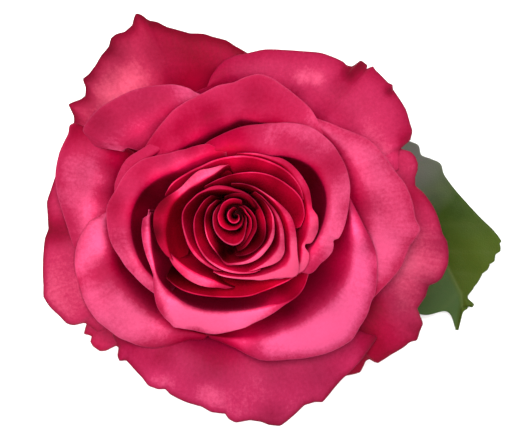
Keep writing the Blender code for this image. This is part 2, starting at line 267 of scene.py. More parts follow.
def makePetalFinish(name, look, back=False):
    finish, tree, shader = startFinish(name)
    grain = petalGrain
    lay = reading(tree, "petalLay").outputs["Vector"]      # degrees round, mm along, one number per petal
    # the petal's tone runs from painted shade in the cup to painted sheen on the lips, over its own colour; its shade
    # is painted shade and painted light
    depth = reading(tree, "petalDepth").outputs["Fac"]     # 0 in the cup, 1 on the rolled lip
    margin = reading(tree, "petalMargin").outputs["Fac"]   # 1 at the very edge
    shade = reading(tree, "petalShade").outputs["Fac"]     # over 0 darker, under 0 lighter
    blue = reading(tree, "petalBlue").outputs["Fac"]       # 1 as it is, more is cooler
    wander = clouds(tree, stretched(tree, lay, 0.13, 0.11, 3.1), 1.0, 2.0)
    lines = clouds(tree, stretched(tree, lay, 0.80, 0.05, 5.3), 1.0, 3.0, 0.62, 0.5)
    fleck = clouds(tree, onObject(tree), grain["fleckScale"], 3.0, 0.7)
    veins = band(tree, lines, 0.36, 0.66)
    blotches = clouds(tree, stretched(tree, lay, 0.055, 0.075, 7.7), 1.0, 2.0, 0.5)
    fibres = clouds(tree, stretched(tree, lay, 2.6, 1.7, 2.3), 1.0, 2.0, 0.6)
    tone = vary(tree, blotches, grain["blotches"], depth)
    tone = vary(tree, veins, grain["veins"], tone)
    tone = vary(tree, fleck, grain["fleck"], tone)
    tone = vary(tree, wander, grain["wander"], tone)
    colours = [look[key] for key in ("deep", "body", "blushAndSheen", "glow")]
    colour = colourRamp(tree, tone, list(zip(grain["stops"], colours)))
    patchy = calc(tree, "MULTIPLY_ADD", wander, 0.7, look["marginShare"] - 0.35)
    # the margin at the very edge: on the cup petals a paler line of painted light, on the guards a darker rim of
    # their own colour
    colour = blendColours(tree, calc(tree, "MULTIPLY", margin, patchy, clampIt=True), colour, look["margin"])
    if back:
        colour = blendColours(tree, grain["backPale"], colour, look["glow"])
    # painted shade and painted light from the mesh darken or lighten the colour here, with a random mottle
    light = calc(tree, "MULTIPLY", calc(tree, "SUBTRACT", 1.0, shade), vary(tree, fleck, grain["mottle"], 1.0))
    cool = calc(tree, "MULTIPLY", light, blue)
    tinted = addNode(tree, "ShaderNodeCombineColor", {0: light, 1: light, 2: cool}).outputs[0]
    tree.links.new(blendColours(tree, 1.0, colour, tinted, "MULTIPLY"), shader.inputs["Base Color"])
    relief = calc(tree, "ADD", calc(tree, "MULTIPLY", fibres, 0.5), calc(tree, "MULTIPLY", veins, 0.5))
    tree.links.new(band(tree, relief, 0.2, 0.8, *grain["rough"]), shader.inputs["Roughness"])
    roughen(tree, shader, relief, grain["bump"], grain["bumpDepth"] * mm)
    letLightIn(shader, grain["through"], grain["throughReach"], grain["throughScale"], look["gloss"])
    return finish


finishes = {}
for part, look in petalFlesh.items():
    finishes[part] = (makePetalFinish(part + "PetalFace", look), makePetalFinish(part + "PetalBack", look, True))
print("petal finishes ready")

# petals
# the crests fall away from their highest ring by so many mm for each square mm, and the claws sit on the dome
bloom = {"crestTop": 46.5, "crestTopRadius": 17.0, "innerFall": 0.020, "outerFall": 0.058,
         "domeRadius": 7.075, "domeHeight": 5.975, "domeBase": 16.5,
         "clawTilts": (86, 4), "wallPull": (0.42, 0.40), "crestShare": 0.6, "fineness": 1.8,
         "wallTone": 0.10, "crestTone": 0.24, "toneLimits": (-0.2, 1.2), "shadeLimits": (-1.3, 0.8)}


def crestHeight(radius):
    fall = bloom["innerFall"] if radius < bloom["crestTopRadius"] else bloom["outerFall"]
    return bloom["crestTop"] - fall * (radius - bloom["crestTopRadius"]) ** 2


def lipCurve(stand, fall, turn):
    # a lip that starts as steep as its wall and rolls over to its last slope, one unit wide
    steps = 40
    xs, zs = [0.0], [0.0]
    for step in range(steps):
        t = (step + 0.5) / steps
        angle = math.radians(fall + (stand - fall) * (1 - t) ** turn)
        xs.append(xs[-1] + math.cos(angle))
        zs.append(zs[-1] + math.sin(angle))
    return [(x / xs[-1], z / xs[-1]) for x, z in zip(xs, zs)]


def readLip(curve, t):
    place = clamp(t) * (len(curve) - 1)
    index = min(int(place), len(curve) - 2)
    (x0, z0), (x1, z1) = curve[index], curve[index + 1]
    return mix(x0, x1, place - index), mix(z0, z1, place - index)


def sheetRows(petal):
    wall, lip = petal["wallRows"] + 3, round(petal["lipRows"] * 1.5)
    rows = [bloom["crestShare"] * (index / wall) ** 0.8 for index in range(wall)]
    for index in range(lip + 1):
        t = index / lip
        rows.append(mix(bloom["crestShare"], 1.0, 0.5 * t + 0.5 * math.sin(t * math.pi / 2)))
    return rows


def clawOf(petal, crest):
    # where on the dome the claw sits, mm out and up, and how steeply it leaves it
    seat = math.radians(petal["seat"])
    tilt = math.radians(mix(*bloom["clawTilts"], smooth((crest - 6) / 30)))
    return bloom["domeRadius"] * math.sin(seat), bloom["domeBase"] + bloom["domeHeight"] * math.cos(seat), tilt


def wallPoint(claw, crest, top, lean, t):
    # the wall leaves the claw at its tilt and meets the crest at its lean
    out, up, clawTilt = claw
    reach = math.dist((out, up), (crest, top))
    lean = math.radians(lean)
    pullA = bloom["wallPull"][0] * reach
    pullB = min(bloom["wallPull"][1] * reach, 0.45 * crest / max(0.08, math.cos(lean)))
    point = bezier(((out, up, 0), (out + pullA * math.cos(clawTilt), up + pullA * math.sin(clawTilt), 0),
                    (crest - pullB * math.cos(lean), top - pullB * math.sin(lean), 0), (crest, top, 0)), t)
    return point.x, point.y


def lipHeight(petal, azimuth, lift, lipT, seed):
    # what the lip's folds, curled edge and ruffle add to its height
    height = lift * lipT ** 1.5
    for place, amount, width in petal["folds"]:
        height += amount * bump(azimuth - place, width) * lipT ** 1.2
    height -= petal["curl"] * clamp((lipT - 0.80) / 0.20) ** 2
    swell, pace = petal["ruffle"]
    return height + swell * noise.noise(Vector((azimuth * pace, seed * 7.3, 0.5))) * lipT ** 2


def petalColour(petal, azimuth, radius, share, lipT, lipWidth, toSide, toneHere):
    # deeper on the wall and paler from the crest out: partly the petal's own colour, partly painted shade in the cup
    # and painted sheen on the lips
    tone = bloom["wallTone"] * smooth(share / 0.55) + bloom["crestTone"] * smooth((share - petal["glowFrom"]) / 0.12)
    tone += petal["tint"] + petal["blushAndSheen"] * smooth(lipT / 0.4) + toneHere * smooth(share / 0.6)
    # painted shade at the petal's ends
    shade = petal["endShade"] * (1 - smooth(toSide / 5))
    # spots of painted shade and painted light, some also shifting the petal's own colour
    for patchAzimuth, patchRadius, width, moreTone, moreShade in petal["paintedShadeAndTintSpots"]:
        apart = math.hypot(radius - patchRadius, math.radians(azimuth - patchAzimuth) * patchRadius)
        weight = bump(apart, width) * smooth(share / 0.4)
        tone += moreTone * weight
        shade += moreShade * weight
    # towards the rim: partly the rim's own colour, partly painted shade
    if lipT > 0:
        width, moreTone, moreShade = petal["edge"]
        weight = bump((1 - lipT) * lipWidth, width)
        tone += moreTone * weight
        shade += moreShade * weight
    return clamp(tone, *bloom["toneLimits"]), clamp(shade, *bloom["shadeLimits"])


def makePetal(name, habit, petal, finish, seed):
    petal = {**habit, **petal}
    first, last = petal["from"], petal["to"]
    half, middle = (last - first) / 2, (last + first) / 2
    crestAt, leanAt, liftAt, toneAt, raiseAt = [makeReader(petal[key], first, last)
                                                for key in ("crest", "lean", "lift", "tone", "raise")]
    rimAt = makeReader(petal["rim"], first, last, petal["toothSharp"])
    claw = clawOf(petal, crestAt(middle))
    columns = round(petal["columns"] * bloom["fineness"])
    work = bmesh.new()
    lay = work.verts.layers.float_vector.new("petalLay")
    stored = [work.verts.layers.float.new("petal" + key) for key in ("Depth", "Margin", "Shade", "Blue")]
    curves, grid = {}, []
    for rowShare in sheetRows(petal):
        line = []
        for column in range(columns + 1):
            across = 2 * column / columns - 1
            right = across > 0
            sideArc = (1 - abs(across)) * half * math.radians(1)       # mm to the side, for each mm out
            toSide = sideArc * rimAt(middle + across * half)
            share = rowShare * (1 - petal["sideDrop"] * smooth(1 - toSide / petal["sideRun"][right]))
            opened = smooth(share / petal["fullWidth"][right])
            azimuth = middle + across * half * mix(petal["claw"] / half, 1.0, opened)
            crest, rim, lean = crestAt(azimuth), rimAt(azimuth), leanAt(azimuth)
            top = crestHeight(crest) + raiseAt(azimuth)
            lipT = max(0.0, (share - bloom["crestShare"]) / (1 - bloom["crestShare"]))
            if share <= bloom["crestShare"]:
                radius, height = wallPoint(claw, crest, top, lean, share / bloom["crestShare"])
            else:
                steep = round(lean, 1)
                if steep not in curves:
                    curves[steep] = lipCurve(steep, petal["fall"], petal["turn"])
                x, z = readLip(curves[steep], lipT)
                run = max(0.12, (rim - crest) * smooth(0.1 + toSide / petal["tipRun"]))     # narrower at its ends
                radius = crest + x * run
                height = top + z * run + lipHeight(petal, azimuth, liftAt(azimuth), lipT, seed)
            sway = noise.noise(Vector((azimuth * 0.035, height * 0.09, seed * 5.7)))
            radius += petal["sway"] * sway * smooth(share / 0.5)
            vert = work.verts.new(spot(azimuth, radius, height))
            vert[lay] = (azimuth, share * petal["length"], seed)
            tone, shade = petalColour(petal, azimuth, radius, share, lipT, rim - crest, toSide, toneAt(azimuth))
            edgeLeft = min(sideArc * radius, (1 - rowShare) * petal["length"])
            for layer, value in zip(stored, (tone, math.exp(-edgeLeft / petal["marginWidth"]), shade, petal["blue"])):
                vert[layer] = value
            line.append(vert)
        grid.append(line)
    joinRows(work, grid)
    work.faces.ensure_lookup_table()
    bmesh.ops.recalc_face_normals(work, faces=work.faces)
    centre = work.faces[(len(grid) // 2) * columns + columns // 2]
    outward = Vector((math.cos(math.radians(middle)), math.sin(math.radians(middle)), -0.6))
    if centre.normal.dot(outward) > 0:
        bmesh.ops.reverse_faces(work, faces=work.faces)
    piece = linkMesh(name, work, finish)
    thicken(piece, petal["thickness"], 1)
    even = piece.modifiers.new("evenShade", "WEIGHTED_NORMAL")
    even.weight = 80
    standFor(piece, petal["node"])


# what a petal's entry says:
# from, to: its two sides, degrees anticlockwise from the east. crest, rim: mm out to the fold and to the edge
# lean: how steeply the wall meets the fold. fall, turn: the lip's last slope, and how late it rolls over
# lift, raise: mm up at the rim, and for the whole petal. folds: degrees, mm up, degrees wide
# curl: mm down at the very edge. ruffle: mm up and down, and how often. sway: mm in and out
# toothSharp: how straight its rim runs between the points that are given, 0 to 1
# claw: half its width in degrees. seat: degrees down the dome. sideDrop, sideRun, tipRun, fullWidth: its sides
# columns, wallRows, lipRows: how finely it is laid. length, thickness, marginWidth: mm
# tone, tint, blushAndSheen, edge, endShade, glowFrom, blue: its colour, from 0 deep to 1 pale. Part of it is painted
# light:
# tone by azimuth is partly painted shade, blushAndSheen is partly painted sheen on the lips, edge is partly the rim's
# own colour and partly painted shade, and endShade is painted shade at its ends
# paintedShadeAndTintSpots: soft spots of painted shade and painted light, some also of its own colour, as degrees, mm
# out, mm wide, then more tone and more shade
# node: the solid that it stands for, if any

# the closed bud, the heart round it, and the crimson rings and lobes
heartHabit = {
    "columns": 44, "wallRows": 9, "lipRows": 7, "length": 28, "thickness": 0.2, "marginWidth": 0.35, "sideDrop": 0.6,
    "sideRun": (4, 4), "tipRun": 4, "fullWidth": (0.45, 0.45), "toothSharp": 0, "ruffle": (0.2, 0.09), "sway": 0.1,
    "curl": 0, "fall": -18, "turn": 1.6, "tint": 0.05, "blushAndSheen": 0.3, "blue": 1, "glowFrom": 0.54, "endShade": 0.55,
    "edge": (0.4, 0, 0), "lean": (66, 66), "lift": (0, 0), "raise": (0, 0), "folds": (), "tone": (0, 0),
    "paintedShadeAndTintSpots": (), "slot": "petal_inner"}
heartPetals = {
    "budCore": {
        "node": "bud_core", "from": 62, "to": 450, "claw": 60, "seat": 2, "columns": 64, "thickness": 0.16,
        "edge": (0.4, -0.05, 0.15),
        "crest": ((62, 2.6), (90, 2.15), (130, 1.85), (180, 1.7), (210, 1.75), (240, 1.8), (270, 1.65), (300, 1.35),
            (330, 1.05), (360, 0.8), (400, 0.5), (450, 0.22)),
        "rim": ((62, 2.8), (90, 2.4), (130, 2.15), (180, 2), (210, 2.05), (240, 2.1), (270, 1.95), (300, 1.65),
            (330, 1.3), (360, 1), (400, 0.68), (450, 0.4)),
        "lean": (34, 44), "paintedShadeAndTintSpots": ((0, 0, 3, 0.1, -0.5),)},
    "budLeft": {
        "node": "bud_left", "from": 46, "to": 380, "claw": 60, "seat": 20, "columns": 72, "edge": (0.4, -0.12, 0.4),
        "crest": ((46, 3.75), (60, 3.9), (90, 4.05), (140, 4.05), (160, 3.9), (180, 4.1), (210, 4.2), (240, 3.8),
            (270, 3.35), (300, 2.7), (330, 2.15), (380, 1.6)),
        "rim": ((46, 3.85), (60, 4.05), (90, 4.3), (140, 4.3), (160, 4.15), (180, 4.4), (210, 4.5), (240, 4.1),
            (270, 3.6), (300, 2.95), (330, 2.35), (380, 1.75)),
        "lean": ((46, 44), (200, 40), (300, 42), (380, 50)),
        "paintedShadeAndTintSpots": ((205, 2.3, 1.8, -0.1, -1.3), (110, 3.4, 2.5, 0.08, -0.5), (205, 4, 1.5, 0.08, -0.4),
            (30, 3, 2, 0.05, -0.3))},
    "budFront": {
        "node": "bud_front", "from": 118, "to": 380, "claw": 40, "seat": 28, "columns": 68, "sideRun": (6, 3),
        "blushAndSheen": 0.5, "edge": (0.5, -0.12, 0.2),
        "crest": ((118, 4.45), (146, 4.75), (180, 5.35), (200, 5.65), (220, 6.1), (240, 6.55), (255, 6.95),
            (265, 7.05), (275, 6.8), (285, 6.1), (295, 5.1), (305, 4.3), (320, 3.4), (352, 2.6), (380, 1.95)),
        "rim": ((118, 4.6), (146, 4.95), (180, 5.6), (200, 5.95), (220, 6.45), (240, 6.95), (255, 7.35), (265, 7.5),
            (275, 7.25), (285, 6.6), (295, 5.55), (305, 4.6), (320, 3.65), (352, 2.8), (380, 2.1)),
        "lean": ((118, 48), (200, 46), (260, 60), (300, 52), (380, 50)),
        "paintedShadeAndTintSpots": ((250, 5, 30, 0.04, 0.12), (130, 4.6, 2, -0.1, 0.35), (262, 4.3, 2, 0, -1.3),
            (255, 6.8, 1.8, 0, 0.15), (300, 5.5, 1.5, -0.1, 0.4))},
    "budRight": {
        "node": "bud_right", "from": -88, "to": 78, "claw": 25, "seat": 34, "sideRun": (3, 2),
        "edge": (0.4, -0.1, 0.2),
        "crest": ((-88, 8), (-78, 7.6), (-65, 6.4), (-55, 5.65), (-40, 4.95), (-30, 4.5), (-20, 4.1), (-10, 3.7),
            (0, 3.25), (15, 2.8), (30, 2.65), (50, 2.6), (78, 2.55)),
        "rim": ((-88, 8.15), (-78, 7.85), (-65, 6.65), (-55, 5.9), (-40, 5.2), (-30, 4.75), (-20, 4.3), (-10, 3.9),
            (0, 3.45), (15, 3), (30, 2.85), (50, 2.75), (78, 2.7)),
        "lean": (44, 44, 48), "paintedShadeAndTintSpots": ((-80, 7.6, 2.5, -0.1, 0.4), (20, 4, 2, 0.05, -0.7))},
    "heartTop": {
        "node": "heart_top", "from": -96, "to": 64, "claw": 15, "seat": 36, "sideRun": (4, 2),
        "edge": (0.4, -0.1, 0.15),
        "crest": ((-96, 9), (-85, 8.8), (-75, 8.2), (-65, 7.4), (-50, 6.6), (-35, 6.1), (-20, 5.4), (-5, 4.7),
            (10, 4.1), (40, 3.3), (64, 3.1)),
        "rim": ((-96, 9.15), (-85, 9.05), (-75, 8.5), (-65, 7.7), (-50, 6.9), (-35, 6.4), (-20, 5.65), (-5, 4.95),
            (10, 4.3), (40, 3.45), (64, 3.25)),
        "lean": (48, 48),
        "paintedShadeAndTintSpots": ((90, 8, 30, 0, 0.12), (-85, 8.8, 3, -0.1, 0.3), (-30, 6, 4, -0.05, 0.3), (30, 4.2, 2, 0, -0.3))},
    "heartRight": {
        "node": "heart_right", "from": -98, "to": 140, "claw": 14, "seat": 44, "columns": 60, "sideRun": (4, 5),
        "edge": (0.4, -0.12, 0.2),
        "crest": ((-98, 9.9), (-80, 9.9), (-60, 9.75), (-50, 9.4), (-40, 9), (-30, 8.4), (-20, 7.8), (-10, 7.3),
            (0, 6.8), (10, 6.5), (20, 6.2), (30, 6), (50, 5.8), (70, 5.6), (90, 5.4), (115, 5.3), (140, 5.4)),
        "rim": ((-98, 10.05), (-80, 10.15), (-60, 10.1), (-50, 9.8), (-40, 9.35), (-30, 8.75), (-20, 8.1),
            (-10, 7.6), (0, 7.05), (10, 6.75), (20, 6.45), (30, 6.2), (50, 6), (70, 5.8), (90, 5.55), (115, 5.45),
            (140, 5.55)),
        "lean": ((-98, 66), (-45, 66), (0, 52), (60, 48), (140, 48)),
        "paintedShadeAndTintSpots": ((0, 9, 30, 0.04, 0.22), (-90, 9.9, 4, -0.1, 0.2), (-45, 9.3, 4, -0.15, 0.5),
            (12, 6.9, 2.5, -0.15, 0.5), (75, 5.6, 3, 0, 0.1), (125, 5.3, 3, -0.1, 0.5), (-5, 5.3, 2.2, 0, -1.2))},
    "ringLeft": {
        "node": "ring_left", "from": 6, "to": 262, "claw": 60, "seat": 46, "columns": 76, "sideRun": (3, 3),
        "blushAndSheen": 0.34,
        "crest": ((6, 6.2), (20, 5.9), (40, 5.8), (60, 5.75), (80, 5.8), (90, 5.9), (100, 6.2), (110, 6.7),
            (120, 7.4), (130, 8.2), (140, 9.3), (150, 10.4), (160, 11.3), (170, 12.3), (180, 12.9), (200, 13.05),
            (220, 13.3), (240, 13.7), (262, 14.2)),
        "rim": ((6, 6.4), (20, 6.15), (40, 6.1), (60, 6.15), (80, 6.4), (90, 6.6), (100, 7.1), (110, 7.8),
            (120, 8.6), (130, 9.3), (140, 9.9), (150, 10.8), (160, 11.65), (170, 12.65), (180, 13.25), (200, 13.5),
            (215, 13.95), (228, 14.25), (240, 14.4), (262, 14.7)),
        "lean": ((6, 62), (60, 62), (90, 76), (150, 80), (180, 70), (262, 64)),
        "tone": ((6, -0.1), (150, -0.05), (180, 0), (200, 0.08), (235, 0.1), (262, -0.05)),
        "paintedShadeAndTintSpots": ((180, 12, 30, 0, 0.08), (45, 6, 3.5, -0.1, 0.6), (95, 7.4, 3, -0.15, 0.5),
            (180, 12.9, 3, -0.15, 0.2), (215, 13.6, 2.5, -0.15, 0.15), (115, 5, 2, 0, -0.9),
            (222, 11.6, 2.5, 0.05, -0.9), (245, 14.2, 3, -0.1, 0.15))},
    "heartFront": {
        "node": "heart_front", "from": 118, "to": 404, "claw": 30, "seat": 50, "columns": 84, "sideRun": (6, 3),
        "blushAndSheen": 0.48,
        "crest": ((118, 5.5), (146, 6.1), (160, 6.6), (180, 7.2), (200, 7.8), (210, 8.2), (220, 8.7), (230, 9.2),
            (240, 9.8), (250, 10.8), (256, 11.6), (262, 11.9), (270, 11.7), (280, 11.5), (290, 11.2), (300, 10.8),
            (310, 10.5), (320, 10.3), (330, 9.9), (340, 9.6), (350, 9.2), (360, 8.9), (375, 8.2), (404, 7.2)),
        "rim": ((118, 5.65), (146, 6.3), (160, 6.9), (180, 7.5), (200, 8.1), (220, 9), (240, 10.2), (250, 11.2),
            (256, 12.1), (261, 12.5), (270, 12.3), (280, 12.25), (290, 12.2), (300, 12.05), (310, 11.7), (320, 11.4),
            (330, 11), (340, 10.4), (350, 9.8), (360, 9.3), (375, 8.5), (404, 7.4)),
        "lean": ((118, 62), (200, 62), (250, 78), (320, 78), (350, 64), (404, 60)),
        "tone": ((118, -0.1), (235, -0.05), (262, 0), (285, 0.12), (330, 0.15), (360, 0), (404, -0.1)),
        "paintedShadeAndTintSpots": ((125, 5.7, 2.5, -0.1, 0.45), (182, 7.8, 2.2, -0.15, 0.6), (222, 7.2, 2.2, 0.05, -1.2),
            (250, 10.2, 2, -0.15, 0.8), (258, 12, 3, -0.2, 0.2), (300, 9.8, 2.2, 0.05, -0.8),
            (312, 12, 3, -0.1, 0.25), (345, 10.6, 2.5, -0.15, 0.55), (350, 8, 2, 0, -0.9),
            (385, 8.6, 2.5, -0.25, 0.4))},
    "heartLeft": {
        "node": "heart_left", "from": 122, "to": 302, "claw": 15, "seat": 54, "columns": 56, "sideRun": (6, 4),
        "blushAndSheen": 0.38,
        "crest": ((122, 6.9), (140, 7.6), (152, 8.25), (170, 9.1), (180, 9.7), (200, 10.6), (210, 11.1), (220, 11.7),
            (230, 12.2), (240, 12.7), (250, 13), (260, 13.4), (270, 13.8), (280, 14.2), (290, 14.6), (302, 14.9)),
        "rim": ((122, 7.1), (140, 7.8), (152, 8.45), (170, 9.4), (180, 10), (200, 10.95), (210, 11.5), (220, 12.1),
            (230, 12.7), (240, 13.2), (250, 13.6), (260, 14), (270, 14.35), (280, 14.65), (290, 14.95), (302, 15.1)),
        "lean": ((122, 62), (200, 60), (260, 64), (302, 64)),
        "tone": ((122, -0.1), (210, -0.05), (230, 0.1), (262, 0.12), (302, 0)),
        "paintedShadeAndTintSpots": ((135, 7.9, 2.5, -0.1, 0.45), (175, 10, 3, -0.1, 0.35), (205, 11, 2, -0.1, 0.3),
            (222, 9, 2.5, 0, -0.9), (228, 12.6, 2, -0.1, 0.3), (258, 11.8, 2.6, 0.05, -0.9),
            (260, 9.2, 1.8, -0.1, 1.3), (298, 13.2, 2.5, 0, -0.7), (285, 14.8, 2, -0.1, 0.1))},
    "ringFront": {
        "node": "ring_front", "from": -86, "to": 62, "claw": 11, "seat": 60, "blushAndSheen": 0.44,
        "crest": ((-86, 14.5), (-70, 14), (-60, 13.75), (-50, 13.5), (-40, 13.2), (-30, 12.5), (-20, 11.5),
            (-10, 10.6), (0, 9.85), (10, 9.1), (20, 8.5), (40, 7.8), (62, 7.4)),
        "rim": ((-86, 14.65), (-72, 14.4), (-65, 14.45), (-60, 14.75), (-50, 15.5), (-45, 15.7), (-40, 15.5),
            (-35, 15), (-30, 14.1), (-20, 12.8), (-10, 11.7), (0, 10.7), (10, 9.8), (20, 8.95), (40, 8.05),
            (62, 7.6)),
        "lean": ((-86, 70), (-45, 74), (0, 62), (62, 60)),
        "tone": ((-86, 0), (-60, 0.15), (-35, 0.2), (-10, 0.1), (10, -0.05), (62, -0.1)),
        "paintedShadeAndTintSpots": ((-72, 12.6, 2.5, 0.05, -0.9), (-70, 14.7, 2.2, -0.12, 0.2), (-32, 13.5, 2.5, -0.18, 0.28),
            (-12, 12, 2.5, -0.15, 0.2), (20, 9.1, 3, -0.2, 0.6), (-45, 15.4, 1.5, -0.05, 0.08))},
    "ringRight": {
        "node": "ring_right", "from": -116, "to": 108, "claw": 12, "seat": 66, "columns": 80, "sideRun": (3, 4),
        "blushAndSheen": 0.55,
        "crest": ((-116, 14.9), (-104, 15), (-90, 15.2), (-80, 15.5), (-70, 15.85), (-60, 16.3), (-50, 16.9),
            (-45, 17.1), (-40, 16.9), (-35, 16.3), (-30, 15.3), (-20, 14), (-10, 12.9), (0, 11.8), (10, 10.8),
            (20, 10), (30, 9.3), (40, 8.8), (60, 8.2), (85, 7.9), (108, 8)),
        "rim": ((-116, 15.1), (-100, 15.45), (-90, 15.7), (-80, 16.15), (-75, 16.5), (-70, 17.1), (-65, 17.6),
            (-60, 18.1), (-55, 18.9), (-50, 20.1), (-47, 21), (-44, 21.3), (-40, 20.6), (-35, 19.1), (-30, 17.8),
            (-20, 16.2), (-10, 15), (0, 13.7), (10, 12.1), (20, 10.7), (30, 9.75), (40, 9.15), (60, 8.5), (85, 8.15),
            (108, 8.2)),
        "lean": ((-116, 64), (-60, 64), (-30, 58), (0, 60), (30, 72), (80, 66), (108, 62)),
        "tone": ((-116, 0), (-80, 0.1), (-60, 0.2), (-35, 0.15), (-10, 0), (20, -0.1), (108, -0.1)),
        "paintedShadeAndTintSpots": ((-12, 15, 3.5, -0.22, 0.24), (12, 13, 3, -0.2, 0.36), (-42, 21, 2.5, -0.05, 0.15),
            (70, 8.7, 3, -0.18, 0.65), (-45, 15, 2.2, 0.1, -0.6), (-12, 11, 2.2, 0, -1), (15, 9, 2, 0, -0.6),
            (-105, 14.8, 3, 0.08, -0.45))},
    "ringTop": {
        "node": "ring_top", "from": -22, "to": 150, "claw": 11, "seat": 61, "columns": 56, "sideRun": (8, 6),
        "tint": 0.08,
        "crest": ((-22, 15), (-12, 16), (0, 16.9), (12, 16.6), (20, 15.9), (30, 14.7), (40, 13.7), (50, 12.8),
            (60, 11.9), (70, 11.2), (80, 10.6), (95, 10), (110, 9.7), (130, 10.1), (150, 11.5)),
        "rim": ((-22, 15.2), (-12, 16.25), (0, 17.2), (12, 17), (20, 16.3), (30, 15.1), (40, 14.1), (50, 13.15),
            (60, 12.25), (70, 11.5), (80, 10.85), (95, 10.2), (110, 9.9), (130, 10.3), (150, 11.7)),
        "lean": (58, 56, 60), "raise": ((-22, -2.2), (-6, -0.9), (8, 0), (150, 0)),
        "paintedShadeAndTintSpots": ((15, 12, 3, 0, -0.7), (40, 9.3, 3, 0, -0.9), (75, 8.8, 3, 0, -0.7), (40, 14.2, 2.5, -0.15, 0.25),
            (98, 10.3, 2.5, -0.18, 0.5), (130, 10.4, 2, -0.1, 0.3), (-12, 14.8, 3, 0, -0.8),
            (5, 17, 2.5, -0.12, 0.15))},
    "ringBack": {
        "node": "ring_back", "from": 90, "to": 221, "claw": 11, "seat": 62, "columns": 56, "lipRows": 9,
        "tipRun": 2.5, "fall": -14, "turn": 3, "blushAndSheen": 0.5, "endShade": 0.1,
        "crest": ((90, 12.75), (95, 12.7), (100, 12.5), (105, 12.1), (110, 11.7), (120, 11.35), (130, 11.5),
            (140, 12), (150, 13.1), (160, 14.2), (170, 15.5), (180, 16.4), (190, 17.3), (200, 18), (207, 18.5),
            (214, 18.9), (221, 19.2)),
        "rim": ((90, 12.9), (95, 12.95), (100, 12.95), (105, 12.95), (110, 12.95), (120, 13.35), (125, 13.9),
            (130, 14.3), (140, 14.6), (150, 15), (155, 15.5), (160, 16.4), (165, 17.7), (172, 19.3), (180, 20.3),
            (190, 20.6), (200, 20.4), (207, 20), (214, 19.6), (221, 19.4)),
        "lean": ((90, 66), (110, 80), (180, 80), (221, 72)),
        "tone": ((90, -0.2), (104, 0), (120, 0.22), (150, 0.2), (165, -0.2), (178, -0.42), (205, -0.38), (221, -0.3)),
        "paintedShadeAndTintSpots": ((128, 13.8, 3.5, -0.2, 0.16), (142, 15, 3, -0.15, 0.15), (164, 17.4, 2, -0.3, 0.4),
            (172, 19.2, 3, -0.15, 0.6), (192, 20.8, 3.5, -0.2, 0.8), (215, 19.4, 3, -0.1, 0.4),
            (130, 11, 3, 0.05, -0.9), (165, 12.6, 3, 0.05, -0.8), (195, 13.6, 3, 0.1, -0.9),
            (220, 15.5, 3, 0.1, -1.2))},
    "ringSliver": {
        "node": None, "from": 202, "to": 274, "claw": 9, "seat": 64, "columns": 36, "tipRun": 3, "fall": -22,
        "turn": 3, "blushAndSheen": 0.5,
        "crest": ((202, 18.9), (212, 18.4), (220, 17.9), (230, 17.4), (240, 17), (250, 16.8), (258, 17.2),
            (274, 18.2)),
        "rim": ((202, 19), (208, 19.3), (212, 19.5), (220, 19.8), (230, 19.8), (240, 19.6), (250, 19), (258, 18.4),
            (274, 18.4)),
        "lean": (84, 84), "raise": (-0.6, -0.6), "tone": (-0.1, 0, -0.15),
        "paintedShadeAndTintSpots": ((20, 12, 30, 0, 0.18), (210, 19.6, 2, -0.1, 0.5), (224, 19.6, 3, -0.15, 0.35),
            (258, 19, 3, -0.2, 0.6), (225, 15.5, 3.5, 0.1, -1.3), (250, 15.8, 3, 0.05, -1.1))},
    "lobeTop": {
        "node": "lobe_top", "from": 4, "to": 172, "claw": 10, "seat": 69, "columns": 52, "sideRun": (7, 6),
        "tint": 0.1,
        "crest": ((4, 17.25), (20, 17.3), (35, 16.8), (60, 15.3), (80, 14.6), (100, 14.2), (120, 14.3), (140, 15.6),
            (155, 17.4), (172, 18.6)),
        "rim": ((4, 17.4), (20, 17.6), (35, 17.2), (60, 15.8), (80, 15.1), (100, 14.7), (120, 14.8), (140, 16.1),
            (155, 17.8), (172, 18.8)),
        "lean": (54, 50, 60),
        "paintedShadeAndTintSpots": ((90, 10.8, 3, 0, -0.8), (98, 13, 3, 0.05, -0.9), (60, 13, 3, 0, -0.7),
            (102, 15.1, 2, -0.22, 0.35), (70, 15.3, 2, -0.1, 0.1), (138, 17, 3, -0.15, 0.35),
            (45, 17, 2.5, -0.2, 0.15), (152, 14.6, 3, 0, -0.8), (165, 18.4, 2.5, -0.1, 0.15))},
    "lobeRight": {
        "node": "lobe_right", "from": -64, "to": 100, "claw": 10, "seat": 76, "columns": 76, "sideRun": (2, 8),
        "blushAndSheen": 0.45,
        "crest": ((-64, 17.4), (-50, 19.2), (-38, 19.7), (-30, 18.6), (-24, 17.9), (-15, 17.9), (-5, 17.9),
            (5, 17.7), (15, 17.6), (30, 17.4), (45, 17), (60, 16.2), (82, 15.5), (100, 15.3)),
        "rim": ((-64, 17.8), (-50, 20), (-45, 20.9), (-42, 21.3), (-38, 21.75), (-34, 21.6), (-30, 21.15),
            (-27, 20.4), (-24.5, 18.9), (-22.5, 18.7), (-20, 20), (-15, 20.5), (-10, 20.8), (-5, 20.65), (0, 20.3),
            (3, 19.6), (6, 19.1), (10, 19.15), (20, 19.4), (30, 19.2), (40, 18.9), (50, 18.3), (60, 17), (82, 15.9),
            (100, 15.6)),
        "lean": ((-64, 60), (-20, 60), (10, 56), (60, 54), (100, 54)),
        "tone": ((-64, 0), (-40, 0.25), (-26, 0.05), (-12, 0.2), (8, -0.05), (60, -0.05), (100, -0.1)),
        "paintedShadeAndTintSpots": ((0, 16, 30, -0.03, 0.07), (14, 19, 3, -0.25, 0.28), (45, 18.8, 3, -0.2, 0.18),
            (-10, 20.8, 2.2, -0.16, 0.32), (-40, 21, 2.5, -0.08, 0.12), (-32, 16.8, 2.5, 0.1, -0.9),
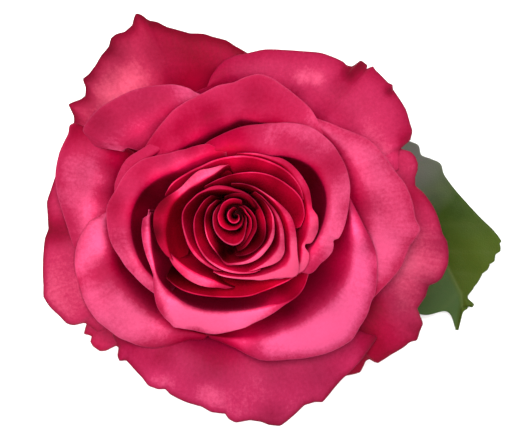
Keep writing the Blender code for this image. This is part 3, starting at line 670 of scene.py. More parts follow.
            (0, 16.8, 3, 0.05, -0.7), (-48, 18.5, 2.5, 0.1, -0.45), (78, 15, 2.5, 0, -0.6))},
    "lobeFront": {
        "node": "lobe_front", "from": 216, "to": 328, "claw": 10, "seat": 66, "sideRun": (6, 4),
        "crest": ((216, 23), (225, 22.9), (232, 22.6), (240, 21.9), (250, 21), (260, 20.3), (270, 20), (280, 20),
            (290, 19.8), (300, 19.9), (310, 20.5), (328, 21.4)),
        "rim": ((216, 23.2), (225, 23.2), (232, 22.9), (240, 22.3), (250, 21.35), (260, 20.65), (270, 20.35),
            (280, 20.35), (290, 20.1), (300, 20.3), (310, 20.9), (328, 21.6)),
        "lean": ((216, 80), (240, 62), (260, 46), (300, 42), (328, 50)), "tone": (-0.1, -0.15, -0.1),
        "paintedShadeAndTintSpots": ((225, 22.6, 3.5, -0.1, 0.5), (225, 19, 2, -0.1, 0.4), (255, 21.3, 2.5, -0.1, 0.2),
            (270, 21, 2, -0.1, 0.12), (292, 20.8, 2.4, -0.25, 0.45), (298, 17.8, 4, 0.08, -1),
            (262, 17, 2.5, 0, -0.9))},
}
for seed, (name, petal) in enumerate(heartPetals.items(), 1):
    makePetal(name, heartHabit, petal, finishes["heart"], seed)
print("heart petals laid:", len(heartPetals))

# the cups with their broad lips, and the petals that open round them
cupHabit = {
    "columns": 60, "wallRows": 10, "lipRows": 12, "length": 38, "thickness": 0.28, "marginWidth": 0.3,
    "sideDrop": 0.3, "sideRun": (1.6, 1.6), "tipRun": 1.5, "fullWidth": (0.45, 0.45), "toothSharp": 0.3,
    "ruffle": (0.4, 0.07), "sway": 0.22, "curl": 0.1, "fall": -24, "turn": 4, "tint": 0.08, "blushAndSheen": 0.5, "blue": 1,
    "glowFrom": 0.5, "endShade": 0, "edge": (0.8, 0, 0), "lean": (84, 84), "lift": (0, 0), "raise": (0, 0),
    "folds": (), "tone": (0, 0), "paintedShadeAndTintSpots": (), "slot": "petal_cup"}
cupPetals = {
    "cupFront": {
        "node": "cup_front", "from": 178, "to": 322, "claw": 10, "seat": 74, "columns": 84, "sideRun": (1.6, 5),
        "blushAndSheen": 0.56, "edge": (1.3, -0.25, 0.15),
        "crest": ((178, 21), (190, 21.4), (200, 22.1), (210, 23.1), (216, 24), (222, 24.6), (230, 24.9), (240, 25),
            (250, 24.7), (260, 24.1), (270, 23.7), (280, 23.5), (290, 23.6), (298, 24.5), (305, 24.9), (313, 24.4),
            (322, 22.9)),
        "rim": ((178, 22.2), (183, 23.1), (190, 23.7), (200, 24.1), (210, 24.4), (216, 25.1), (220, 26.5), (224, 28),
            (230, 30), (235, 30.9), (239, 31.3), (241, 31.7), (244, 31.2), (250, 30.4), (260, 30), (265, 29.3),
            (270, 28.6), (275, 28), (280, 27.1), (290, 26.1), (300, 25.3), (307, 25.3), (313, 24.8), (318, 24),
            (322, 23.2)),
        "lean": ((178, 84), (285, 86), (300, 54), (322, 50)), "folds": ((229, 0.5, 4),),
        "tone": ((178, 0), (230, 0), (238, 0.18), (275, 0.2), (296, -0.1), (304, -0.28), (322, -0.3)),
        "paintedShadeAndTintSpots": ((270, 24, 30, 0, -0.05), (186, 22.9, 1.6, -0.15, 0.2), (195, 20.2, 2.5, 0, -1),
            (209, 22.4, 2.8, 0.06, -1), (203, 26.2, 1.8, -0.25, 0.4), (220, 29, 1.8, -0.25, 0.35),
            (232, 26.3, 2.5, 0.08, -0.35), (231, 30, 3, -0.2, 0.14), (252, 31, 2.2, -0.25, 0.2),
            (272, 27, 3.5, 0.12, -0.22), (290, 20.5, 4, 0, -1.2), (315, 21, 3.5, 0, -1.2),
            (308, 25.2, 2.5, -0.1, 0.35))},
    "cupRight": {
        "node": "cup_right", "from": -42, "to": 128, "claw": 10, "seat": 84, "columns": 84, "blushAndSheen": 0.42,
        "crest": ((-42, 21.4), (-25, 20.3), (-20, 20.6), (-10, 21.3), (0, 22.2), (10, 22.9), (15, 23), (25, 22.7),
            (33, 22.2), (40, 21.1), (47, 19.7), (52, 18.7), (60, 17.3), (70, 16.4), (85, 16), (106, 16.2),
            (128, 16.9)),
        "rim": ((-42, 22.4), (-38, 23.5), (-35, 24), (-30, 24.2), (-25, 25.1), (-20, 25.7), (-16, 25.4), (-14.3, 25),
            (-13, 26.1), (-10, 26.7), (-5, 27.3), (0, 27.8), (5, 28.3), (10, 28.9), (15, 29.5), (25, 30), (35, 30),
            (45, 29.4), (52, 28.4), (60, 26.6), (65, 25.4), (70, 24.4), (75, 23.4), (85, 22.2), (95, 21),
            (103, 20.2), (112, 19.4), (120, 18.3), (128, 17.2)),
        "lean": ((-42, 66), (-20, 76), (0, 86), (48, 86), (60, 60), (100, 50), (128, 52)),
        "lift": ((-42, 0), (-15, -1.5), (40, -1.5), (60, -1.2), (128, -1.5)), "folds": ((28, -0.5, 5),),
        "tone": ((-42, 0), (-5, 0.08), (18, 0), (28, -0.16), (38, 0.02), (60, 0.02), (80, -0.18), (100, -0.3),
            (128, -0.34)),
        "paintedShadeAndTintSpots": ((28, 27.3, 5, -0.15, 0.15), (4, 29, 3, -0.12, 0.06), (-22, 22.5, 2.5, -0.15, 0.08),
            (-34, 24.3, 3.5, -0.24, 0.08), (-9, 25.5, 3, 0.02, -0.12), (43, 23.6, 3, -0.16, 0.18),
            (56, 21.5, 3, -0.2, 0.08), (54, 29.5, 2.5, -0.14, 0.12), (90, 19, 4, -0.3, -0.05),
            (-22, 19.5, 3, 0.1, -0.9), (54, 15.8, 2.5, 0.05, -0.8), (95, 15.3, 3, -0.2, -0.8),
            (112, 19.5, 3, -0.35, -0.15), (36, 18.8, 3, 0, -0.9))},
    "cupSliver": {
        "node": "cup_sliver", "from": 176, "to": 214, "claw": 8, "seat": 86, "columns": 24, "lipRows": 8,
        "crest": (21.4, 21.7, 22.6, 23.6), "rim": (21.7, 22.3, 23.1, 23.9), "raise": (-1.5, -1.5)},
    "cupLeft": {
        "node": "cup_left", "from": 98, "to": 230, "claw": 10, "seat": 78, "columns": 76, "sideRun": (4.5, 1.6),
        "blushAndSheen": 0.42,
        "crest": ((98, 15.9), (110, 15.9), (120, 16.2), (130, 16.8), (140, 17.8), (147, 19.1), (155, 21.2),
            (160, 22.4), (165, 23.6), (170, 24.5), (175, 25.2), (180, 25.7), (190, 26.1), (200, 26.2), (210, 25.9),
            (217, 25.4), (230, 25.2)),
        "rim": ((98, 16.3), (103, 17.6), (110, 18.9), (120, 19.9), (127, 20.6), (131, 21.4), (137, 22.6),
            (143, 24.6), (150, 27.2), (160, 29.4), (168, 30.4), (173, 31.5), (177, 32.1), (183, 32), (190, 31.8),
            (195, 31.3), (200, 30.5), (205, 30), (210, 29.3), (215, 28.8), (220, 28.3), (225, 27.8), (230, 27.2)),
        "lean": ((98, 50), (130, 56), (148, 76), (165, 86), (217, 86), (230, 80)), "folds": ((174, -0.4, 4),),
        "tone": ((98, -0.25), (125, -0.12), (140, 0), (160, -0.14), (177, -0.12), (190, 0), (205, 0.12), (230, 0.05)),
        "paintedShadeAndTintSpots": ((101, 16.5, 2.2, -0.2, 0.12), (106, 18.5, 3.5, -0.35, -0.05), (124, 20, 3, -0.32, 0.16),
            (141, 21.5, 3, -0.18, 0.16), (143, 26, 3, -0.2, 0), (154, 25, 3.5, -0.2, 0.1),
            (175, 29.5, 4, -0.22, 0.28), (192, 30.5, 4, -0.2, 0.2), (208, 30, 4, -0.2, 0.12),
            (222, 28, 3, -0.15, 0.14), (106, 15.5, 3, 0, -0.7), (124, 15.5, 2.5, 0.05, -0.8),
            (142, 16.8, 3, 0.05, -1.3), (157, 20.3, 2.8, 0.05, -1.2), (177, 25, 3, 0.05, -0.6),
            (205, 25.5, 2.5, 0, -0.5))},
    "foldLeft": {
        "node": "fold_left", "from": 126, "to": 178, "claw": 7, "seat": 92, "columns": 36, "blushAndSheen": 0.36,
        "crest": ((126, 23.4), (140, 24.6), (155, 26.6), (178, 28.4)),
        "rim": ((126, 24.4), (130, 25.6), (134, 26.6), (140, 27.7), (143, 28.3), (147, 29.2), (150, 30), (153, 30.6),
            (157, 30.9), (165, 31.1), (170, 30.7), (178, 30.8)),
        "lean": (75, 75), "lift": (-1.5, -1.5), "tone": (-0.2, -0.15)},
    "spreadTop": {
        "node": "spread_top", "from": 40, "to": 162, "claw": 9, "seat": 90, "columns": 72, "fall": -22, "turn": 2.6,
        "blushAndSheen": 0.22,
        "crest": ((40, 27.6), (60, 25.4), (77, 23.8), (85, 23.8), (95, 22.5), (105, 21.5), (120, 21), (131, 21.1),
            (146, 22.8), (162, 25.4)),
        "rim": ((40, 29.6), (49, 31.2), (55, 32.4), (63, 33.3), (70, 34.3), (75, 35.2), (80, 35.6), (86, 34.4),
            (91, 33), (97, 32.6), (105, 31.4), (115, 30.7), (120, 30.4), (127, 29.5), (137, 28.5), (146, 27.9),
            (162, 28.3)),
        "lean": ((40, 76), (80, 80), (110, 74), (162, 70)), "lift": ((40, -0.5), (70, -2), (120, -2.2), (162, -1)),
        "raise": ((40, 0), (112, 0), (130, -1.2), (146, -3.6), (162, -5.5)),
        "tone": ((40, 0), (70, -0.02), (95, 0), (120, -0.1), (162, -0.05)),
        "paintedShadeAndTintSpots": ((104, 26, 4, -0.28, 0.2), (66, 26, 3.5, -0.1, -0.05), (122, 26.3, 4, -0.28, 0.14),
            (80, 22, 2.5, 0.05, -1), (92, 21.5, 2.5, 0, -0.6), (116, 19.5, 3, 0.05, -1), (82, 30, 4.5, -0.14, 0.22),
            (138, 26, 3, -0.2, 0.08), (140, 21.5, 3, 0.05, -0.5), (124, 30.5, 3.5, 0.25, -0.15),
            (50, 33, 4, 0.15, -0.25))},
    "rollLeft": {
        "node": "roll_left", "from": 177, "to": 258, "claw": 9, "seat": 92, "columns": 64, "curl": 0.2, "fall": -46,
        "turn": 1.15, "blushAndSheen": 0.53, "edge": (1.4, -0.12, 0.06),
        "crest": (31.4, 31.6, 31.6, 31, 30.4),
        "rim": ((177, 32.6), (180, 33.4), (182, 36.2), (185, 37.9), (188, 39.3), (193, 41), (197, 41.9), (205, 42.9),
            (213, 43.5), (217, 43.4), (222, 42.6), (226, 42.1), (230, 41.1), (234, 40.2), (238, 38.9), (242, 37),
            (246, 34.9), (250, 33), (258, 31.6)),
        "lean": (58, 60, 58), "lift": ((177, 0), (225, 0), (238, -1.4), (248, -3), (258, -3.4)),
        "folds": ((203, -1.1, 3.2),),
        "tone": ((177, 0.05), (196, 0), (203, -0.22), (209, 0), (225, 0.1), (238, -0.1), (246, -0.3), (258, -0.4)),
        "paintedShadeAndTintSpots": ((208, 36, 4, -0.14, 0.15), (199, 34.5, 2.5, -0.12, 0.15), (222, 39.5, 5, -0.1, 0.16),
            (236, 39.5, 4, -0.16, 0.12), (248, 34, 3.5, -0.22, -0.12), (190, 40, 3, -0.1, 0),
            (236, 30.8, 2.8, 0.1, -0.9), (192, 31.5, 4, 0.1, -0.9), (199, 43.5, 3, 0.15, -0.3),
            (258, 31, 2.5, -0.3, -0.1))},
    "rollRight": {
        "node": "roll_right", "from": -104, "to": 12, "claw": 9, "seat": 88, "columns": 76, "curl": 0.2, "fall": -42,
        "turn": 1.15, "blushAndSheen": 0.56, "blue": 1.08, "edge": (2, -0.34, 0.1),
        "crest": ((-104, 30.4), (-75, 30), (-50, 30), (-30, 30.2), (-10, 28.6), (12, 27.4)),
        "rim": ((-104, 31), (-97, 31.6), (-90, 33), (-85, 34.8), (-80, 36.5), (-75, 37.4), (-70, 38.1), (-65, 39.2),
            (-60, 40.3), (-55, 41.3), (-50, 42), (-47, 42.3), (-42, 41.5), (-37, 41), (-32, 40), (-30, 39.9),
            (-25, 38.8), (-20, 37.5), (-15, 36.2), (-10, 34.3), (-5, 32.2), (0, 30.7), (5, 29.5), (12, 28.4)),
        "lean": (60, 60), "lift": ((-104, -3), (-92, -2.2), (-78, -0.4), (12, 0)),
        "tone": ((-104, -0.4), (-86, -0.12), (-70, 0.08), (-45, 0.12), (-25, 0), (-8, -0.05), (12, -0.1)),
        "paintedShadeAndTintSpots": ((-50, 38, 30, 0.02, 0.03), (-94, 33, 3, -0.35, 0), (-86, 28, 4.5, 0.12, -1.3),
            (-82, 32.4, 2.5, -0.25, 0.25), (-68, 30.5, 2.5, 0.1, -0.2), (-60, 27, 2.5, -0.05, 0.3),
            (-42, 33, 4, -0.1, 0.14), (-22, 26.6, 4, 0.05, -1.1), (-6, 27.5, 3.5, 0.05, -1),
            (-14, 33, 3, -0.05, 0.22), (-17, 37.8, 2.6, 0.2, -0.35))},
    "spreadRight": {
        "node": "spread_right", "from": -42, "to": 60, "claw": 8, "seat": 95, "columns": 76, "fall": -32, "turn": 1,
        "edge": (2.2, -0.16, 0.06),
        "crest": ((-42, 32.6), (-20, 31.4), (0, 30.4), (20, 30), (40, 29.6), (60, 29.2)),
        "rim": ((-42, 37.6), (-32, 39.8), (-27, 40.8), (-22, 42.1), (-17, 43.4), (-10, 44.1), (-7, 45.4),
            (-4.5, 46.2), (-1, 44.9), (5, 44.1), (10, 43.1), (16, 41.1), (25, 39.3), (30, 38), (35, 35.9), (40, 34),
            (45, 32.7), (50, 31.5), (60, 30.4)),
        "lean": (46, 46), "lift": ((-42, 0), (0, -1.5), (60, -1.5)), "raise": ((-42, 0), (10, 0.5), (30, 2), (60, 3)),
        "folds": ((-6, 0.5, 5),), "tone": ((-42, -0.1), (-6, 0.12), (10, 0.02), (25, -0.02), (60, 0)),
        "paintedShadeAndTintSpots": ((0, 36, 30, -0.02, 0.02), (-30, 40, 4, -0.2, -0.08), (-17, 42, 3, -0.14, 0.05),
            (-6, 38.5, 4, -0.04, 0.1), (4, 34.8, 4, -0.14, 0.2), (20, 35.8, 5, -0.05, 0.14),
            (27, 40.5, 3, 0.08, -0.2), (20, 29.8, 4.5, 0.08, -0.6), (10, 28.2, 3, 0, -0.8), (2, 43.5, 4, -0.1, 0.06),
            (-9, 44.5, 3.5, -0.2, 0.05), (44, 33.5, 3, 0.05, -0.15))},
    "foldTop": {
        "node": "fold_top", "from": 102, "to": 157, "claw": 8, "seat": 96, "columns": 52, "fullWidth": (0.45, 1.15),
        "turn": 1.1, "blushAndSheen": 0.3,
        "crest": (28.6, 30.2, 32.4),
        "rim": ((102, 29.8), (108, 32.2), (110, 33.6), (115, 35.9), (121, 37.7), (127, 39.6), (130, 40.4),
            (138, 42.2), (142, 43.2), (149, 43.7), (150.8, 43.5), (152, 42.2), (153.6, 40.5), (157, 38)),
        "lean": (48, 44), "lift": ((102, -1), (130, -2), (158, -1)),
        "raise": ((102, 2), (125, 4.3), (140, 3.6), (158, 2.4)),
        "tone": ((102, 0.1), (114, 0.03), (124, -0.12), (138, -0.08), (150, 0.02), (158, 0)),
        "paintedShadeAndTintSpots": ((130, 38, 30, 0, 0.1), (126, 28.5, 3.5, 0.25, -0.75), (139, 29.6, 4, 0.36, -1.1),
            (130, 36, 7, 0.03, 0.16), (146, 41.5, 5, -0.14, 0.28), (110, 34, 3, 0.15, -0.05),
            (152, 32, 3, 0.2, -0.3), (126, 42, 2.5, 0.2, 0))},
    "spreadLeft": {
        "node": "spread_left", "from": 148, "to": 206, "claw": 8, "seat": 98, "columns": 56, "fall": -28, "turn": 1.1,
        "blushAndSheen": 0.39, "edge": (2.6, -0.18, 0.15),
        "crest": (33.6, 33.8, 34, 34.4),
        "rim": ((148, 43.8), (150, 46.2), (151.5, 46.9), (154, 46.3), (160, 46.5), (165, 46.2), (168, 45.8),
            (172, 44.9), (176, 43.8), (180, 42.7), (185, 41.7), (193, 40.8), (206, 39.6)),
        "lean": (42, 42), "raise": (3.5, 3), "tone": ((148, -0.35), (156, -0.1), (164, 0.08), (180, 0.1), (206, 0)),
        "paintedShadeAndTintSpots": ((175, 40, 30, 0, 0.05), (165, 39.5, 5, -0.05, 0.12), (165, 34, 2.8, 0.25, -0.55),
            (150, 44, 4, -0.22, 0.28), (178, 33, 4, 0.3, -1.1), (152, 32, 3.5, 0.1, -0.9),
            (182, 38.5, 4, -0.08, 0.08), (174, 44.5, 3, 0.1, 0.05))},
}
for seed, (name, petal) in enumerate(cupPetals.items(), 31):
    makePetal(name, cupHabit, petal, finishes["cup"], seed)
print("cup petals laid:", len(cupPetals))

# the guard petals, with dusty, notched rims
guardHabit = {
    "columns": 84, "wallRows": 9, "lipRows": 16, "length": 46, "thickness": 0.3, "marginWidth": 0.55,
    "sideDrop": 0.25, "sideRun": (1.6, 1.6), "tipRun": 1, "fullWidth": (0.45, 0.45), "toothSharp": 0.75,
    "ruffle": (0.8, 0.08), "sway": 0.4, "curl": 0.25, "fall": -40, "turn": 0.9, "tint": 0.06, "blushAndSheen": 0.26,
    "blue": 1, "glowFrom": 0.5, "endShade": 0, "edge": (1.2, -0.25, 0.06), "lean": (24, 24), "lift": (0, 0),
    "raise": (3.5, 3.5), "folds": (), "tone": (0, 0), "paintedShadeAndTintSpots": (), "slot": "petal_guard"}
guardPetals = {
    "guardFront": {
        "node": "guard_front", "from": 222, "to": 322, "claw": 9, "seat": 100, "columns": 100,
        "fullWidth": (0.45, 1.08), "blue": 1.12,
        "crest": (33.4, 33.4, 33.4, 33.4, 33.6),
        "rim": ((222, 42), (228.5, 43.8), (230, 45.6), (231.5, 46.2), (233, 45.1), (235, 45.4), (240, 46.5),
            (243, 47.6), (246, 47.4), (248, 46.7), (250, 47.5), (255, 48.2), (260, 48.5), (263, 49.5), (267, 49.6),
            (268, 50.8), (270, 51.7), (274, 51.2), (277, 51.8), (279, 52.8), (282, 53.6), (286, 52), (290, 50.3),
            (293, 50.5), (295, 51.3), (297, 50.6), (300, 49.5), (303, 48.7), (310, 47.9), (315, 47.1), (319.5, 46.5),
            (324, 46)),
        "raise": ((222, 1.5), (300, 1.5), (322, 1.5)),
        "tone": ((222, -0.3), (236, -0.1), (250, 0.05), (275, 0.1), (300, -0.08), (324, -0.15)),
        "paintedShadeAndTintSpots": ((262, 37.5, 6.5, -0.28, 0.36), (284, 41, 5, -0.1, 0.2), (229, 41, 3, -0.15, 0.15),
            (243, 40, 4, -0.2, 0.12), (236, 37.5, 2, 0.1, -0.15), (262, 44.8, 4, 0.2, -0.1),
            (245, 45.5, 3.5, 0.18, -0.12), (297, 44.5, 5.5, 0, 0.25), (280, 50.5, 4, -0.15, 0.28),
            (319, 44.8, 4, -0.45, 0.02), (308, 49.5, 3, 0.15, -0.35), (264, 32, 6, -0.1, -0.5))},
    "guardTopRight": {
        "node": "guard_top_right", "from": 14, "to": 114, "claw": 9, "seat": 100, "columns": 130, "blue": 1.05,
        "edge": (3, -0.22, 0.05),
        "crest": (33.2, 33.6, 33.6, 33.2, 32),
        "rim": ((14, 42), (21.8, 43.8), (22.6, 45.6), (23.2, 47.2), (25.5, 48.7), (28, 49.1), (32, 49.9),
            (38.6, 50.2), (39.8, 50.9), (41, 50.4), (46, 50.4), (47.5, 50.7), (48.1, 49.1), (48.7, 50), (51.1, 49.9),
            (51.9, 47.4), (53.5, 46.8), (55, 47), (62, 46.1), (68, 44.4), (73, 43.3), (80, 42.1), (86, 40.5),
            (90, 39.9), (94, 38.8), (97, 37.2), (100, 35.2), (103, 32.4), (114, 30.6)),
        "raise": ((14, 1), (60, 0.5), (84, -1.2), (114, -1.2)), "folds": ((50.5, -1.7, 2.6), (39, -0.6, 2)),
        "tone": ((14, 0), (42, 0), (50.5, -0.05), (59, 0), (66, 0), (80, 0), (106, -0.02)),
        "paintedShadeAndTintSpots": ((64, 42, 40, 0, -0.08), (20, 41.5, 4.5, 0.18, -0.38), (32, 38, 4.5, 0.18, -0.2),
            (43, 33, 3.5, 0.25, -0.5), (56, 33, 3.5, 0.2, -0.4), (73, 33.5, 3.5, 0.05, -0.35),
            (50.4, 48.5, 1.8, -0.5, 0.3), (50.6, 45.2, 2, -0.5, 0.32), (50.4, 41, 2.4, -0.12, 0.15),
            (39, 49.3, 1.3, -0.3, 0.35), (64.3, 38, 2, 0.16, -0.12), (59.3, 39.7, 2, 0.2, -0.12),
            (24, 45.8, 2.5, -0.3, 0.12), (96, 34, 4, -0.28, -0.1), (101, 32, 4, -0.1, -0.4))},
    "guardLeft": {
        "node": "guard_left", "from": 160, "to": 222, "claw": 8, "seat": 103, "columns": 72,
        "crest": (35.4, 35.4, 35.4, 35.4),
        "rim": ((160, 44.6), (166, 45.6), (172, 46.3), (176, 47), (180, 46.7), (184, 46.7), (187, 47.9), (190, 48.6),
            (195, 49.8), (200, 51), (203, 52), (206, 51.6), (210, 50.4), (212.6, 49.9), (214.2, 48.7), (215.5, 46),
            (222, 44.6)),
        "raise": (5, 5), "tone": ((160, 0), (177, 0), (184, -0.35), (192, 0.1), (204, 0.15), (215, 0), (222, -0.1)),
        "paintedShadeAndTintSpots": ((186, 40, 4.5, -0.05, 0.2), (200, 43, 5, -0.05, 0.05), (186, 45, 3, -0.2, 0.15),
            (175, 44, 3.5, 0, 0.05), (220, 45, 3.5, 0, 0.06))},
    "guardTopLeft": {
        "node": "guard_top_left", "from": 80, "to": 158, "claw": 9, "seat": 104, "columns": 100, "fall": -22,
        "turn": 0.8, "blushAndSheen": 0.42, "blue": 0.92, "edge": (2.2, -0.45, 0.25),
        "crest": (34.4, 34.8, 35.2, 35.4, 35.4),
        "rim": ((80, 38.6), (86, 40.5), (90, 42.1), (93, 43.7), (97, 44.9), (100, 46.1), (104, 46.9), (107, 48.4),
            (110, 50.1), (112, 52.1), (114, 53.3), (115, 55.2), (116.2, 56.2), (117.2, 55.4), (118.5, 54),
            (121, 53.5), (123.5, 54.2), (125, 54.1), (127, 52.7), (130, 52.2), (133, 51.3), (136, 50.9),
            (138.2, 51.2), (139.5, 49.2), (141.5, 48), (143, 48.3), (145, 49.4), (146.4, 50.1), (147.4, 48.7),
            (148.6, 47.2), (151, 46.2), (158, 45.4)),
        "lean": (22, 20), "raise": (-2, -2), "folds": ((117, 1.3, 3.6), (128, -0.7, 5), (146, 0.8, 2.4)),
        "tone": ((80, -0.42), (104, -0.42), (112, -0.34), (117, -0.2), (122, -0.02), (128, 0.12), (136, 0.16),
            (144, 0), (158, -0.05)),
        "paintedShadeAndTintSpots": ((118, 45, 40, -0.04, -0.07), (130, 40.5, 5, 0.12, -0.2), (122, 38, 3, 0.15, -0.2),
            (132, 46.5, 3.5, -0.12, 0.26), (126, 50.5, 4, -0.28, 0.4), (137, 50, 3, -0.25, 0.25),
            (141, 45.5, 3.5, -0.1, 0.18), (116, 46, 5, -0.12, 0.2), (114, 53, 4, -0.2, 0.12),
            (108, 34, 4, -0.05, -0.75), (103, 40, 5, -0.25, -0.08), (151, 49, 3, -0.2, 0.2),
            (107, 44, 4, -0.12, 0.1))},
    "guardRight": {
        "node": "guard_right", "from": -64, "to": 32, "claw": 9, "seat": 104, "columns": 104, "blushAndSheen": 0.34,
        "crest": (35.4, 35.6, 35.8, 35.6, 35.2),
        "rim": ((-64, 46.6), (-56, 48.4), (-51.5, 50.1), (-48, 48.9), (-47, 49.2), (-46.3, 51.3), (-42, 52.3),
            (-38, 53.6), (-36, 54), (-34.5, 55.2), (-32, 54.5), (-30, 54.2), (-28.5, 52.6), (-27, 51.1), (-23, 51.6),
            (-20, 51.3), (-18.5, 52.8), (-17, 53.7), (-13, 54.3), (-10, 53.9), (-7, 53.1), (-5, 51.8), (0, 50.3),
            (3, 49.1), (7, 47.1), (9.5, 45.4), (12, 45.7), (14, 46.7), (16, 47.2), (18, 47.1), (20, 46.4),
            (22, 44.4), (32, 43)),
        "raise": ((-64, 1.5), (-30, 2), (-5, 3), (32, 3)), "folds": ((-26, -1, 3), (9, -0.9, 3), (-15, 0.6, 5)),
        "tone": ((-64, -0.4), (-45, -0.42), (-37, -0.25), (-30, 0), (-16, 0.08), (-6, 0), (6, -0.15), (14, 0.05),
            (32, 0)),
        "paintedShadeAndTintSpots": ((-44, 49, 5, -0.28, -0.12), (-33, 41.5, 3.5, -0.5, -0.1), (-41, 44.5, 3.5, -0.3, -0.25),
            (-29, 46.5, 4, 0.08, 0.3), (-20, 51.5, 4, -0.15, 0.32), (-32, 52.5, 3, -0.1, 0.25),
            (-8, 51.5, 3.5, -0.12, 0.25), (-17, 45, 4.5, 0.16, 0.04), (-52, 47, 3.5, -0.2, -0.3),
            (6, 43, 4, -0.3, -0.12), (18, 43, 4, -0.2, -0.12))},
    "guardSmall": {
        "node": "guard_small", "from": 208, "to": 236, "claw": 6, "seat": 108, "columns": 48, "lipRows": 12,
        "crest": (38.4, 38.4, 38.4),
        "rim": ((208, 44.6), (215, 45), (216.5, 46.6), (218, 48.1), (219.3, 47.3), (220, 47), (221, 48.1),
            (222.5, 48.4), (225, 48), (226.3, 46.8), (227.5, 44.2), (229, 44), (236, 43.4)),
        "tone": (-0.1, -0.15), "paintedShadeAndTintSpots": ((221, 46, 12, 0.06, -0.25),)},
}
for seed, (name, petal) in enumerate(guardPetals.items(), 61):
    makePetal(name, guardHabit, petal, finishes["guard"], seed)
print("guard petals laid:", len(guardPetals))

# leaf: mm east and north of the bloom's axis, from the stalk to the tip
leaf = {
    "midrib": ((37.4, 20.9), (40.5, 15), (43.2, 9.5), (46, 3), (48.8, -3.5), (51.2, -8.6), (53.4, -13), (55.4, -17),
        (56.9, -20.6), (56.7, -24.4), (55.6, -28.8)),
    "outer": ((37.6, 20.9), (41.2, 19.7), (44.1, 18.5), (45.9, 17.5), (46.6, 15.2), (49, 14.2), (51.4, 13),
        (52.3, 10.3), (54.9, 6.7), (58, 3.2), (61.2, -0.3), (64.4, -3.4), (66.5, -5.9), (66.8, -8), (65.6, -10.6),
        (64.2, -12.6), (61.8, -15.5), (59.6, -18.6), (58.3, -20.6), (59.9, -22.5), (57, -23.2), (56.4, -25.2),
        (55.7, -28.8)),
    "inner": ((37.2, 20.9), (34, 17), (31.5, 11), (31, 3), (31.5, -5), (33, -12), (36.4, -18), (41.6, -23.2),
        (47.5, -25), (53.2, -24.2), (55.5, -28.8)),
    "rows": 120, "sideColumns": 22, "length": 60, "thickness": 0.4, "floor": 0.85, "lowest": 0.65,
    "sideVeins": 8, "veinWidth": 0.42, "veinDepth": 0.06, "quilt": 0.12, "fold": 0.17, "arch": 1.1, "ripple": 0.5,
    "teeth": 21, "toothDepth": 0.12, "gloss": 0.04,
    "dark": (0.015, 0.030, 0.004), "green": (0.025, 0.045, 0.006), "light": (0.038, 0.057, 0.008),
    "olive": (0.040, 0.060, 0.0052), "shaded": (0.035, 0.063, 0.021), "vein": (0.075, 0.098, 0.026),
    # painted sheen: a grey reflection laid over the blade near the stalk
    "paintedSheenGrey": (0.115, 0.118, 0.105)}


def makeLeafFinish(name, look):
    finish, tree, shader = startFinish(name)
    lay = reading(tree, "leafLay").outputs["Vector"]       # mm from the midrib, 0 at the stalk to 60 at the tip
    vein = reading(tree, "leafVein").outputs["Fac"]
    here = onObject(tree)
    blotches = clouds(tree, here, 130.0, 3.0)
    grain = clouds(tree, here, 2600.0, 2.0)
    cells = addNode(tree, "ShaderNodeTexVoronoi", {"Vector": here, "Scale": 1300.0}, feature="DISTANCE_TO_EDGE")
    net = band(tree, cells.outputs["Distance"], 0.0, 0.16, 1.0, 0.0)
    tone = vary(tree, grain, 0.35, blotches)
    colour = colourRamp(tree, tone, ((0.18, look["dark"]), (0.48, look["green"]), (0.85, look["light"])))
    colour = blendColours(tree, calc(tree, "MULTIPLY", net, 0.10), colour, look["light"])
    apart = addNode(tree, "ShaderNodeSeparateXYZ", {0: lay})
    along = vary(tree, clouds(tree, here, 60.0, 2.0, 0.5), 8.0, apart.outputs[1])
    colour = blendColours(tree, band(tree, along, 24.0, 34.0, 0.0, 0.75), colour, look["olive"])
    colour = blendColours(tree, band(tree, apart.outputs[0], -1.2, 0.4, 0.8, 0.0), colour, look["shaded"])
    # painted sheen: grey laid over the blade towards the stalk
    colour = blendColours(tree, band(tree, along, 11.0, 23.0, 0.85, 0.0), colour, look["paintedSheenGrey"])
    colour = blendColours(tree, calc(tree, "MULTIPLY", vein, 0.45, clampIt=True), colour, look["vein"])
    tree.links.new(colour, shader.inputs["Base Color"])
    tree.links.new(band(tree, tone, 0.2, 0.8, 0.34, 0.52), shader.inputs["Roughness"])
    height = calc(tree, "MULTIPLY_ADD", net, -0.5, calc(tree, "MULTIPLY", grain, 0.3))
    roughen(tree, shader, calc(tree, "MULTIPLY_ADD", vein, -0.8, height), 0.25, 0.16 * mm)
    letLightIn(shader, 0.06, (0.3, 1.0, 0.2), 0.6, look["gloss"])
    return finish


